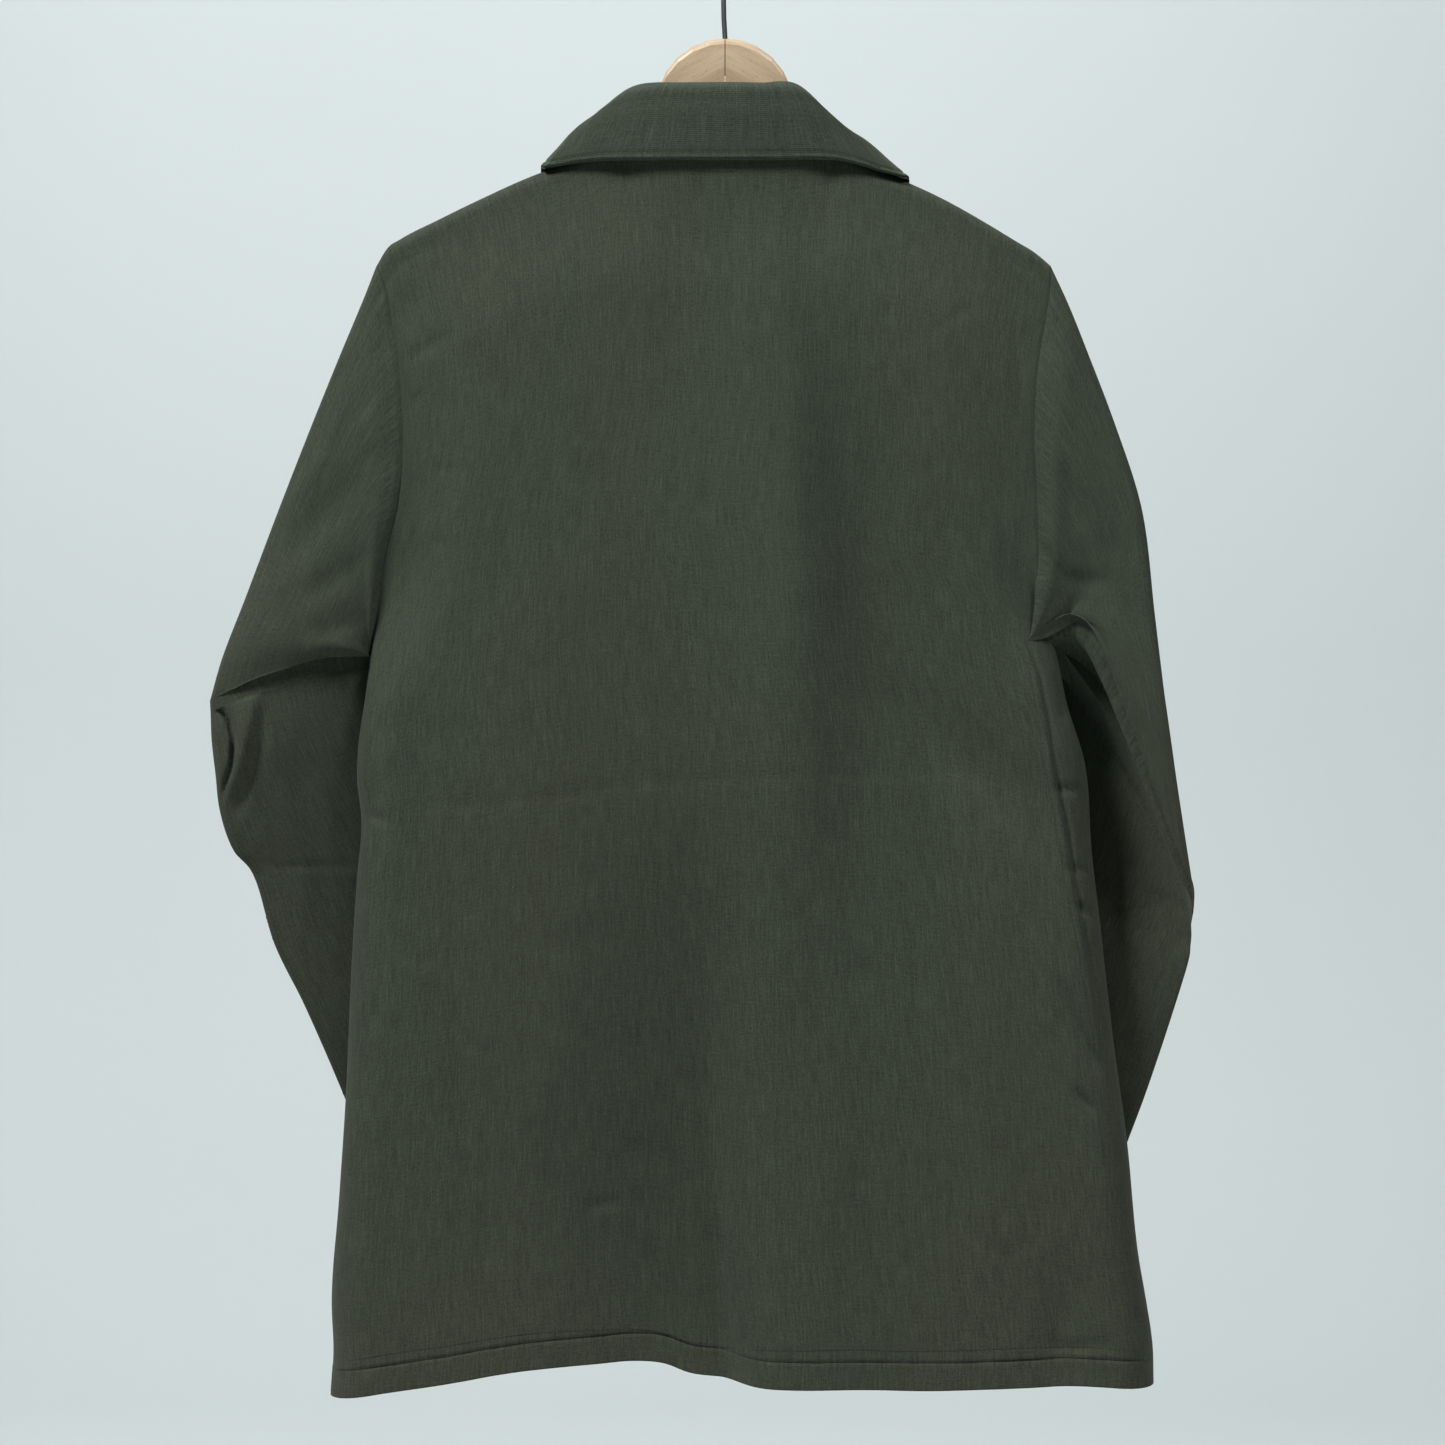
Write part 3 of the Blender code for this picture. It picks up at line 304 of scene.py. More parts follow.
# Sections of the left sleeve above its fold: outer x, y, z; inner x, y, z; bulge to the back; to the front;
# share of the armhole's shape; bow upwards; share of the fold edge's shape. A column left out is 0.
UPPER_LEFT = [
    (-215.8, 0, -225.7, -219.8, 0, -467, 0, 0, 1, 0),
    (-223.8, 0, -246.8, -219.8, 0, -467.1, 12, 11, 0.55, 0),
    (-239.3, 0, -284, -219.8, 0.1, -467.2, 15, 13, 0.28, 0),
    (-259.2, 0, -333.6, -219.7, 0.3, -467.3, 18, 13, 0.10, 0),
    (-278.4, 0, -383.2, -219.6, 0.6, -467.4, 21, 13),
    (-297, 0, -432.8, -219.4, 1, -467.5, 23, 13, 0, 5),
    (-311.2, 0, -470, -219, 1.6, -467.6, 24, 13, 0, 8),
]
EDGE_LEFT = (-318.7, 0, -495.8, -218.4, 2.4, -467.8, 20, 12, 0, 6)

# Sections of the left sleeve below its fold, down to the cuff
LOWER_LEFT = [
    (-318.4, 1, -503, -213, 18, -474, 22, 7, 0, 3),
    (-317.8, 2, -520.9, -207, 24, -489.6, 23, 7),
    (-315.6, 3, -542, -199, 28, -500, 22, 7),
    (-314.2, 4, -558.5, -190.3, 31, -510.7, 20, 7),
    (-305.6, 7, -587.8, -176.9, 35, -538, 16, 7),
    (-295, 10, -601, -166.3, 38, -565.3, 13, 7),
    (-281, 15, -647.5, -151.8, 40, -603.3, 9, 7),
    (-263.7, 19, -684.1, -140.4, 41, -645.1, 7, 7),
    (-249.6, 22.5, -717, -129.6, 40, -680.4, 6, 7),
    (-238, 26, -745.8, -118.2, 39, -710.7, 5, 6),
]
CUFF_LEFT = [
    (-238, 26, -745.8, -118.2, 39, -710.7, 5.6, 6.6),
    (-228, 28.3, -775.5, -107.9, 38.5, -740.5, 5.8, 6.8),
    (-218.3, 30, -804.2, -97.9, 38, -769.4, 5.5, 6.5),
]

# The right sleeve, with the same columns
UPPER_RIGHT = [
    (201.5, 0, -225.7, 205, 0, -455.2, 0, 0, 1, 0),
    (212.7, 0, -250.5, 205.1, 0, -455.3, 12, 11, 0.55, 0),
    (225.1, 0, -281.5, 205.2, 0, -455.4, 15, 13, 0.28, 0),
    (241.2, -3, -324.9, 205.2, 0.2, -455.6, 15, 15, 0.10, 0),
    (257.3, -8, -378.2, 205.1, 0.6, -455.8, 13, 20, 0, 0, 0.10),
    (264.7, -11, -442.7, 205, 1, -456, 14, 22, 0, -5, 0.35),
    (271.2, -12, -500.9, 204.8, 1.6, -456.2, 17, 22, 0, -12, 0.65),
    (278, -10, -560, 204.4, 2.2, -456.4, 20, 20, 0, -19, 0.90),
]
EDGE_RIGHT = (288.4, -5, -628, 204, 3, -456.6, 22, 14, 0, -12)
LOWER_RIGHT = [
    (289, 1, -634, 198, 40, -461, -8, 10, 0, -10),
    (289.4, 2, -640, 194, 42, -492, -5, 9, 0, -5),
    (289, 3, -647, 187, 41, -527.3, -1, 8, 0, -2),
    (287, 5, -660.5, 152.4, 40, -599.5, 4, 7),
    (280.4, 10, -684.5, 143.7, 41, -635, 5, 7),
    (270.4, 16, -718.2, 139.2, 41, -678, 5, 7),
    (261.6, 19, -745, 134.8, 41, -707.7, 6, 7),
    (252.4, 25, -772.1, 129.7, 40, -736.1, 5, 6),
]
CUFF_RIGHT = [
    (252.4, 25, -772.1, 129.7, 40, -736.1, 5.6, 6.6),
    (243, 27.3, -803.5, 120.6, 39, -767.3, 5.8, 6.8),
    (234.6, 29, -831.7, 111.9, 38, -795.3, 5.5, 6.5),
]

# Path of the cloth from a fold edge in behind it and out to the forearm: share of the way, rise, depth share
TUCK_PLAIN = [
    (0, 0, 0), (0.05, -0.6, 0.06), (0.12, 1.8, 0.20), (0.28, 8, 0.45), (0.46, 11, 0.75),
    (0.62, 9, 0.95), (0.80, 4, 1), (1, 0, 1),
]
TUCK_LIPPED = [
    (0, 0, 0), (0.04, -0.6, 0.012), (0.09, 1.8, 0.05), (0.15, 2.2, 0.09), (0.22, -2.4, 0.09),
    (0.28, -4.8, 0.12), (0.34, -3.6, 0.18), (0.46, 5, 0.32), (0.62, 9, 0.55), (0.80, 5, 0.80),
    (1, 0, 1),
]

# Creases of the sleeves, with the columns of BACK_CREASES
UPPER_LEFT_CREASES = [
    (10, 12, 2.6, [(-212, -340), (-240, -372), (-266, -398), (-290, -420)]),
    (7, 9, 1.8, [(-222, -404), (-238, -418), (-262, -432)]),
    (6, 8, 1.6, [(-226, -446), (-246, -452), (-268, -458)]),
    (5, 6, -1.2, [(-232, -300), (-250, -345), (-264, -372)]),
    (3.5, 4, 1, [(-214, -300), (-222, -312), (-230, -322)]),
]
UPPER_RIGHT_CREASES = [
    (6, 9, 2.2, [(196, -398), (202, -412), (212, -420), (226, -422), (241, -421)]),
    (6, 8, 1, [(198, -430), (212, -434), (228, -436), (244, -434)]),
    (8, 8, -1.8, [(214, -330), (226, -366), (238, -396)]),
    (5, 6, 1.4, [(206, -352), (216, -372), (222, -392)]),
    (5, 5, 1.2, [(246, -420), (254, -448), (258, -480)]),
]
LOWER_LEFT_CREASES = [
    (1.7, 1.9, 6, [(-316, -497), (-308, -508), (-304.5, -520), (-305.5, -535), (-311, -551), (-314, -562)]),
    (5, 9, -5, [(-293, -494), (-295, -510), (-299, -530), (-307, -552)]),
    (4, 4, 3, [(-287, -500), (-289, -520), (-295, -545), (-304, -566)]),
    (3, 2.4, 0.9, [(-282, -599), (-260, -598), (-228, -598)]),
    (8, 9, 1.8, [(-270, -520), (-258, -570), (-246, -630)]),
    (2, 2, 1.6, [(-300, -600), (-292, -603), (-286, -604)]),
]
LOWER_RIGHT_CREASES = [
    (3, 2.4, 1, [(238, -623), (252, -623), (268, -624)]),
    (4, 4, 1.8, [(263, -612), (276, -620), (286, -628)]),
    (6, 7, 1.8, [(228, -560), (240, -610), (246, -660)]),
]

# Felled seam along the outer edge of the left forearm: x, z
FORE_SEAM_LEFT = [
    (-313, -562), (-304, -588), (-293, -602), (-290, -610), (-279, -647), (-262, -684), (-247, -717),
    (-236, -740),
]

# Label stitching under the collar: x, z
LABEL_STITCHES = [(-19.2, -150), (-19.2, -167), (7.4, -167.4), (7.4, -150)]

# Half profile of the button band, whose edges are rolled in: distance from its middle, drop below its face
BAND_PROFILE = [
    (17, 1.6), (16.9, 0.7), (16.4, 0.2), (15.4, 0), (14, 0.2), (13, 0.45), (12, 0.2), (8, 0), (4, 0), (0, 0),
]

# Profiles of a button and of the rim of one of its holes, from the outside in: radius, level
BUTTON_PROFILE = [
    (6.6, 0.2), (8.2, 0.7), (8.5, 1.4), (8.3, 2.3), (7.6, 2.8), (6.7, 2.75), (6, 2.3), (5.2, 2), (0.05, 1.9),
]
HOLE_PROFILE = [(0.85, 0), (0.95, 0.28), (0.7, 0.32), (0.05, 0.3)]


def smooth_values(knots, rows, at):
    """Smooth values at many places among rising knots, without overshoot at the ends."""
    knots = np.asarray(knots, dtype=float)
    rows = np.asarray(rows, dtype=float)
    at = np.clip(np.asarray(at, dtype=float), knots[0], knots[-1])
    slopes = np.gradient(rows, knots, axis=0)
    low = np.clip(np.searchsorted(knots, at, side="right") - 1, 0, len(knots) - 2)
    span = knots[low + 1] - knots[low]
    share = (at - knots[low]) / span
    if rows.ndim == 2:
        span = span[..., None]
        share = share[..., None]
    a = share * share * (3.0 - 2.0 * share)
    b = share * (1.0 - share) ** 2 * span
    c = -share * share * (1.0 - share) * span
    return rows[low] * (1.0 - a) + rows[low + 1] * a + slopes[low] * b + slopes[low + 1] * c


def table_values(table, at, column=1):
    rows = sorted(table)
    return smooth_values([row[0] for row in rows], [row[column] for row in rows], at)


def lengths_from_start(steps):
    """Lengths along a path at its points, from the steps between them."""
    return np.concatenate([[0.0], np.cumsum(steps)])


def path_lengths(rows):
    return lengths_from_start(np.linalg.norm(np.diff(rows, axis=0), axis=1))


def path_points(path, shares):
    """Points at shares of the length of a path, from 0 to 1."""
    rows = np.asarray(path, dtype=float)
    knots = path_lengths(rows)
    return smooth_values(knots / knots[-1], rows, shares)


def shifted(path, across, up):
    return [(x + across, z + up) for x, z in path]


def mix(first, second, share):
    return first * (1.0 - share) + second * share


def close_at_ends(count):
    """Shares from 0 to 1, closer together towards both ends."""
    return (1.0 - np.cos(math.pi * np.arange(count + 1) / count)) / 2.0


def half_circle(share):
    """From 0 at both ends to 1 in the middle."""
    return 2.0 * np.sqrt(np.maximum(0.0, share * (1.0 - share)))


def around(grid_place, centre, width):
    """A bell from 1 at the centre, with its half width."""
    return np.exp(-((grid_place - centre) / width) ** 2)


def soft_step(value):
    value = np.clip(value, 0.0, 1.0)
    return value * value * (3.0 - 2.0 * value)


def round_edge(value):
    """Quarter circle from 0 at the edge to 1 inside."""
    value = np.clip(value, 0.0, 1.0)
    return np.sqrt(1.0 - (1.0 - value) ** 2)


def shoulder_height(x):
    return np.where(x < 0.0, table_values(SHOULDER_LEFT, x), table_values(SHOULDER_RIGHT, x))


def top_edge(x, drop, depth, power):
    """Height and depth of a panel's top edge: the shoulder ridge, or the neck edge in the middle."""
    left_neck = SHOULDER_LEFT[-1][0]
    right_neck = SHOULDER_RIGHT[0][0]
    share = np.clip((x - left_neck) / (right_neck - left_neck), 0.0, 1.0)
    bow = np.maximum(0.0, 1.0 - (2.0 * share - 1.0) ** 2) ** power
    neck_z = SHOULDER_LEFT[-1][1] * (1.0 - share) + SHOULDER_RIGHT[0][1] * share - drop * bow
    at_neck = (x > left_neck) & (x < right_neck)
    z = np.where(at_neck, neck_z, shoulder_height(x))
    over = RIDGE_RADIUS * round_edge((shoulder_height(x) - neck_z) / RIDGE_RADIUS)
    away = depth * bow
    if depth > 0.0:
        away = np.maximum(over, away)
    return z, np.where(at_neck, away, 0.0)


def back_top(x):
    return top_edge(x, 1.5, -18.0, 0.5)


def front_top(x):
    return top_edge(x, 74.0, 20.0, 0.9)


def fold_depth(folds, x, z):
    """Sum of the soft folds at each place: plus is away from the viewer of that side."""
    total = np.zeros_like(x)
    for middle_x, middle_z, angle, half_length, left_width, right_width, depth in folds:
        turn = math.radians(angle)
        along = (x - middle_x) * math.cos(turn) + (z - middle_z) * math.sin(turn)
        across = (x - middle_x) * math.sin(turn) - (z - middle_z) * math.cos(turn)
        width = np.where(across < 0.0, left_width, right_width)
        total += depth * np.exp(-(along / half_length) ** 2 - (across / width) ** 2)
    return total


def crease_depth(creases, x, z):
    """Sum of the creases that follow drawn paths. They fade out towards the ends of their path."""
    total = np.zeros_like(x)
    for left_width, right_width, depth, path in creases:
        best = np.full(x.shape, 1e9)
        side = np.zeros_like(x)
        fade = np.zeros_like(x)
        lengths = [math.dist(first, second) for first, second in zip(path, path[1:])]
        whole = sum(lengths)
        passed = 0.0
        for (x1, z1), (x2, z2), length in zip(path, path[1:], lengths):
            dx = (x2 - x1) / length
            dz = (z2 - z1) / length
            along = np.clip((x - x1) * dx + (z - z1) * dz, 0.0, length)
            away = np.hypot(x - x1 - dx * along, z - z1 - dz * along)
            share = (passed + along) / whole
            closer = away < best
            best = np.where(closer, away, best)
            side = np.where(closer, (x - x1) * dz - (z - z1) * dx, side)
            fade = np.where(closer, 0.25 + 0.75 * np.sin(math.pi * share) ** 0.6, fade)
            passed += length
        width = np.where(side < 0.0, left_width, right_width)
        total += depth * fade * np.exp(-(best / width) ** 2)
    return total


def sight(x, y, z):
    """Where the sight line through a point crosses the middle plane."""
    scale = -VIEW_POINT[1] / (y - VIEW_POINT[1])
    return VIEW_POINT[0] + (x - VIEW_POINT[0]) * scale, VIEW_POINT[2] + (z - VIEW_POINT[2]) * scale


def unevenness(x, z, size, seed):
    """Slow small rise and fall of hung cloth, about -1 to 1, drawn out along its length."""
    flat_x = x.ravel()
    flat_z = z.ravel()
    values = [noise.noise(Vector((a / size, seed, b / (size * 2.2)))) for a, b in zip(flat_x, flat_z)]
    return np.array(values).reshape(x.shape)


def stand_off(x, z, edge_distance, top_distance, top_depth, column, seam_depth, folds):
    """How far a body panel stands off the middle plane."""
    deep = table_values(BODY_DEPTH, z, column)
    start = np.maximum(np.abs(top_depth), RIDGE_RADIUS * round_edge(top_distance / RIDGE_RADIUS))
    start = np.minimum(start, deep)
    full = start + (deep - start) * soft_step(top_distance / 90.0)
    side_share = soft_step((-400.0 - z) / 100.0)
    share = mix(soft_step(edge_distance / 55.0), round_edge(edge_distance / 28.0), side_share)
    calm = soft_step(edge_distance / 40.0) * soft_step(top_distance / 60.0)
    full = full - calm * fold_depth(folds, x, z)
    return np.abs(seam_depth) + (full - np.abs(seam_depth)) * share


def armhole_points(armhole, shares):
    """Points of an armhole seam, rounded over the end of the hanger at its top."""
    shares = np.asarray(shares, dtype=float)
    points = path_points(armhole, shares)
    least = RIDGE_RADIUS * round_edge(shares * ARMHOLE_LENGTH / RIDGE_RADIUS)
    side = 1.0 if armhole[1][1] > 0.0 else -1.0
    near_top = (shares < 0.3) & (np.abs(points[:, 1]) < least)
    points[:, 1] = np.where(near_top, side * least, points[:, 1])
    return points


def side_path(armhole, side, arm_rows, side_rows):
    """Points down one edge of a panel: the armhole, then the side, closer together at the hem."""
    arm_shares = np.linspace(0.0, 1.0, arm_rows) ** 1.5
    upper = np.linspace(0.0, 0.95, side_rows)[1:]
    lower = np.linspace(0.95, 1.0, side_rows // 6)[1:]
    line = path_points([(x, 0.0, z) for x, z in side], np.concatenate([upper, lower]))
    return np.concatenate([armhole_points(armhole, arm_shares), line])


def row_shares(points):
    steps = np.hypot(np.diff(points[:, 0]), np.diff(points[:, 2]))
    lengths = lengths_from_start(steps)
    return lengths / lengths[-1]


def even_armpit(edge):
    """An edge of a panel without its sharp turn at the armpit."""
    padded = np.pad(edge, ((ARMPIT_ROWS // 2, ARMPIT_ROWS // 2), (0, 0)), mode="edge")
    weights = np.ones(ARMPIT_ROWS) / ARMPIT_ROWS
    even = np.stack([np.convolve(column, weights, mode="valid") for column in padded.T], axis=-1)
    share = np.exp(-((edge[:, 2:3] - ARMPIT_LEVEL) / ARMPIT_REACH) ** 4)
    return edge + (even - edge) * share


def panel_grid(left, right, top, hem, column, folds, shares, sign, centre_right=False):
    """Rows of points of a body panel between its two edges, filled by blending its four edges."""
    share = np.asarray(shares)[None, :]
    down = ((row_shares(left) + row_shares(right)) / 2.0)[:, None]
    top_z, top_depth = top(mix(left[0, 0], right[0, 0], share))
    hem_z = table_values(hem, mix(left[-1, 0], right[-1, 0], share))
    corner_z = mix(mix(left[0, 2], right[0, 2], share), mix(left[-1, 2], right[-1, 2], share), down)
    x = mix(left[:, 0:1], right[:, 0:1], share)
    z = mix(left[:, 2:3], right[:, 2:3], share) + mix(top_z, hem_z, down) - corner_z
    even_left = even_armpit(left)
    even_right = even_armpit(right)
    facing = np.sign(right[-1, 0] - left[-1, 0])
    left_distance = np.maximum(0.0, (x - even_left[:, 0:1]) * facing)
    right_distance = np.maximum(0.0, (even_right[:, 0:1] - x) * facing)
    if centre_right:
        right_distance = right_distance + FAR
    on_left = left_distance <= right_distance
    seam = np.where(on_left, even_left[:, 1:2], even_right[:, 1:2])
    nearest = np.minimum(left_distance, right_distance)
    top_distance = np.maximum(0.0, top(x)[0] - z)
    y = sign * stand_off(x, z, nearest, top_distance, top_depth * (1.0 - down) ** 4, column, seam, folds)
    y[:, 0] = left[:, 1]
    if not centre_right:
        y[:, -1] = right[:, 1]
    return np.stack([x, y, z], axis=-1), nearest


def unit(vectors):
    lengths = np.linalg.norm(vectors, axis=-1, keepdims=True)
    return vectors / np.maximum(lengths, 1e-9)


def sheet_normals(grid):
    return unit(np.cross(np.gradient(grid, axis=1), np.gradient(grid, axis=0)))


def turn_hem(grid, inward):
    """Adds the cloth turned up inside the lower edge, as rows behind the last ones."""
    edge = grid[-1]
    up = unit(grid[-4] - grid[-1])
    profile = [
        (-0.35, 0.5), (0.0, HEM_PLY), (4.0, HEM_PLY + 0.2), (HEM_TURN, HEM_PLY + 0.1), (HEM_TURN + 0.2, 0.3),
    ]
    turned = [edge + up * rise + np.asarray(inward) * depth for rise, depth in profile]
    return np.concatenate([grid, np.array(turned)])


def add_object(name, data):
    item = bpy.data.objects.new(name, data)
    bpy.context.scene.collection.objects.link(item)
    return item


def add_smooth(name, mesh, material):
    mesh.materials.append(material)
    mesh.polygons.foreach_set("use_smooth", [True] * len(mesh.polygons))
    mesh.update()
    return add_object(name, mesh)


def make_mesh(name, parts, material, turned=False):
    """One object from grids of points, each (grid, closed), with real lengths in metres as UVs."""
    points = []
    faces = []
    uvs = []
    shift = 0
    for grid, closed in parts:
        rows, columns = grid.shape[:2]
        index = np.arange(rows * columns).reshape(rows, columns) + shift
        across = np.linalg.norm(np.diff(grid, axis=1), axis=2).mean(axis=0)
        along = np.linalg.norm(np.diff(grid, axis=0), axis=2).mean(axis=1)
        if closed:
            home = np.linalg.norm(grid[:, 0] - grid[:, -1], axis=1).mean()
            across = np.append(across, home)
            index = np.concatenate([index, index[:, :1]], axis=1)
        u = lengths_from_start(across) * MM
        v = lengths_from_start(along) * MM
        corners = [index[:-1, :-1], index[:-1, 1:], index[1:, 1:], index[1:, :-1]]
        faces.append(np.stack(corners, axis=-1).reshape(-1, 4))
        u_grid, v_grid = np.meshgrid(u, v)
        uv = np.stack([v_grid, u_grid] if turned else [u_grid, v_grid], axis=-1)
        corner_uvs = [uv[:-1, :-1], uv[:-1, 1:], uv[1:, 1:], uv[1:, :-1]]
        uvs.append(np.stack(corner_uvs, axis=2).reshape(-1, 2))
        points.append(grid.reshape(-1, 3) * MM)
        shift += rows * columns
    mesh = bpy.data.meshes.new(name)
    mesh.from_pydata(np.concatenate(points).tolist(), [], np.concatenate(faces).tolist())
    layer = mesh.uv_layers.new(name="cloth")
    layer.data.foreach_set("uv", np.concatenate(uvs).astype(np.float32).ravel())
    return add_smooth(name, mesh, material)


def back_grid():
    left = side_path(ARMHOLE_BACK_LEFT, SIDE_LEFT, BACK_ARM_ROWS, BACK_SIDE_ROWS)
    right = side_path(ARMHOLE_BACK_RIGHT, SIDE_RIGHT, BACK_ARM_ROWS, BACK_SIDE_ROWS)
    even = np.linspace(0.0, 1.0, BACK_COLUMNS)
    shares = 0.5 * even + 0.25 * (1.0 - np.cos(math.pi * even))
    grid, nearest = panel_grid(left, right, back_top, HEM_BACK, 1, BACK_FOLDS, shares, -1.0)
    x, z = sight(grid[:, :, 0], grid[:, :, 1], grid[:, :, 2])
    top_distance = back_top(grid[:, :, 0])[0] - grid[:, :, 2]
    calm = soft_step(nearest / 8.0) * soft_step(top_distance / 10.0)
    dip = crease_depth(BACK_CREASES, x, z)
    dip = dip + 0.7 * unevenness(x, z, 34.0, 3.0) + 0.25 * unevenness(x, z, 11.0, 9.0)
    seam = crease_depth([(1.5, 1.2, 2.6, SIDE_SEAM), (3.0, 3.0, -1.6, shifted(SIDE_SEAM, -4, -1))], x, z)
    hem_line = table_values(HEM_BACK, grid[:, :, 0]) + HEM_TURN
    stitch_groove = 0.8 * around(grid[:, :, 2], hem_line, 1.0)
    grid[:, :, 1] += calm * (dip + seam + stitch_groove)
    grid[:BACK_ARM_ROWS, :, 1] += 0.5 * around(nearest[:BACK_ARM_ROWS], 0.0, 1.2)
    return grid


def build_back(cloth):
    grid = turn_hem(back_grid(), (0.0, 1.0, 0.0))
    item = make_mesh("back_cloth", [(grid, False)], cloth)
    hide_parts("back")
    return item


def front_shares(neck_share, count):
    """Column shares of a front, close together at its side and with one column on the neck point."""
    outer = neck_share * (1.0 - np.cos(0.5 * math.pi * np.linspace(0.0, 1.0, count))) ** 0.8
    inner = neck_share + (1.0 - neck_share) * np.linspace(0.0, 1.0, count // 2 + 1)[1:]
    return np.concatenate([outer, inner])


def front_grid(armhole, side, edge_x, lift, seed):
    outer = side_path(armhole, side, FRONT_ARM_ROWS, FRONT_SIDE_ROWS)
    samples = row_shares(outer)
    top_z = float(front_top(np.array([edge_x]))[0][0])
    hem_z = float(table_values(HEM_FRONT, np.array([edge_x]))[0])
    edge_z = mix(top_z, hem_z, samples)
    edge = np.stack([np.full_like(edge_z, edge_x), np.full_like(edge_z, CENTRE_DEPTH), edge_z], axis=-1)
    neck_x = SHOULDER_LEFT[-1][0] if outer[0, 0] < 0.0 else SHOULDER_RIGHT[0][0]
    shares = front_shares((neck_x - outer[0, 0]) / (edge_x - outer[0, 0]), FRONT_COLUMNS)
    grid, nearest = panel_grid(outer, edge, front_top, HEM_FRONT, 2, FRONT_FOLDS, shares, 1.0, True)
    closeness = 1.0 - np.abs(grid[:, :, 0] - edge_x) / 60.0
    grid[:, :, 1] += lift * soft_step(closeness * 2.0)
    top_distance = front_top(grid[:, :, 0])[0] - grid[:, :, 2]
    calm = soft_step(nearest / 8.0) * soft_step(top_distance / 10.0)
    calm = calm * soft_step((np.abs(grid[:, :, 0]) - CENTRE_EDGE) / 30.0)
    grid[:, :, 1] -= calm * 0.7 * unevenness(grid[:, :, 0], grid[:, :, 2], 36.0, seed)
    return grid


def build_fronts(cloth):
    items = []
    sides = [
        ("front_left", ARMHOLE_FRONT_LEFT, SIDE_LEFT, CENTRE_EDGE, 2.4, 21.0),
        ("front_right", ARMHOLE_FRONT_RIGHT, SIDE_RIGHT, -CENTRE_EDGE, 0.0, 27.0),
    ]
    for name, armhole, side, edge_x, lift, seed in sides:
        grid = turn_hem(front_grid(armhole, side, edge_x, lift, seed), (0.0, -1.0, 0.0))
        item = make_mesh(name + "_cloth", [(grid, False)], cloth)
        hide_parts(name)
        items.append(item)
    return items


def front_outer_y(x, z):
    """Outer face of the overlapping left front near the middle."""
    x = np.asarray(x, dtype=float)
    z = np.asarray(z, dtype=float)
    top_z, top_depth = front_top(x)
    seam_depth = np.full_like(x, CENTRE_DEPTH)
    return stand_off(x, z, np.full_like(x, FAR), np.maximum(0.0, top_z - z), top_depth, 2, seam_depth, [])


def build_placket(cloth):
    """Band on the left front, with its edges rolled in and a stitched channel along each."""
    half = np.array(BAND_PROFILE, dtype=float)
    columns = np.concatenate([-half[:-1, 0], half[::-1, 0]])
    drop = np.concatenate([half[:-1, 1], half[::-1, 1]])
    rows = np.linspace(0.0, 1.0, BAND_ROWS)[:, None]
    x = np.broadcast_to(columns[None, :], (BAND_ROWS, len(columns)))
    z = mix(front_top(x)[0] - 1.0, table_values(HEM_FRONT, x) + 1.0, rows)
    y = front_outer_y(x, z) + BAND_LIFT + BAND_WALL - drop[None, :] + 0.18 * unevenness(x, z, 14.0, 33.0)
    grid = np.stack([x, y, z], axis=-1)
    item = make_mesh("placket_cloth", [(grid, False)], cloth)
    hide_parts("placket")
    return item


def pull_to_corner(line, share):
    """Draws the back of the right sleeve out to the corner where its armhole seam and its fold edge meet."""
    pull = soft_step((share - 0.80) / 0.13) * soft_step((1.0 - share) / 0.065)
    return line + (np.array(ARMPIT_CORNER) - line) * pull[:, None]


def fold_shape(outer, chord, upward, share):
    """The right fold edge, moved and stretched to run between the ends of another section."""
    first = np.array(EDGE_RIGHT)[[0, 2]]
    line = np.array(EDGE_RIGHT)[[3, 5]] - first
    edge = path_points(FLAP_RIGHT, share) - first
    length = np.hypot(line[0], line[1])
    along = (edge @ line) / length ** 2
    lift = (edge[:, 1] * line[0] - edge[:, 0] * line[1]) / length
    return outer + chord * along[:, None] + upward * lift[:, None]


def section_ring(section, back_armhole, front_armhole, count, flap=None, corner=False):
    """Closed ring of points of one sleeve section: out along the back, home along the front."""
    section = section + (0.0,) * (SECTION_COLUMNS - len(section))
    outer = np.array(section[0:3])
    inner = np.array(section[3:6])
    back_bulge, front_bulge, seam_share, bow, fold_share = section[6:]
    chord = inner - outer
    upward = unit(np.array([-chord[2], 0.0, chord[0]]))
    share = close_at_ends(count)
    halves = []
    for armhole, bulge in ((back_armhole, -back_bulge), (front_armhole, front_bulge)):
        at_back = armhole is back_armhole
        seam = armhole_points(armhole, share)
        seam_chord = np.array(armhole[-1]) - np.array(armhole[0])
        line = outer + chord * share[:, None]
        line = line + seam_share * (seam - np.array(armhole[0]) - seam_chord * share[:, None])
        line = line + upward * (bow * 4.0 * share * (1.0 - share))[:, None]
        if fold_share > 0.0 and at_back:
            line = line + (fold_shape(outer, chord, upward, share) - line) * fold_share
        if flap is not None and bulge < 0.0:
            line[:, [0, 2]] = path_points(flap, share)
        line[:, 1] += bulge * half_circle(share) ** 0.6
        if corner and at_back:
            line = pull_to_corner(line, share)
        halves.append(line)
    return np.concatenate([halves[0], halves[1][-2:0:-1]])


def blend_rings(rings, count):
    """Many rings, smoothly between a few."""
    rings = np.array(rings)
    knots = lengths_from_start(np.linalg.norm(np.diff(rings, axis=0), axis=2).mean(axis=1))
    at = np.linspace(0.0, knots[-1], count)
    return smooth_values(knots, rings.reshape(len(rings), -1), at).reshape(count, -1, 3)


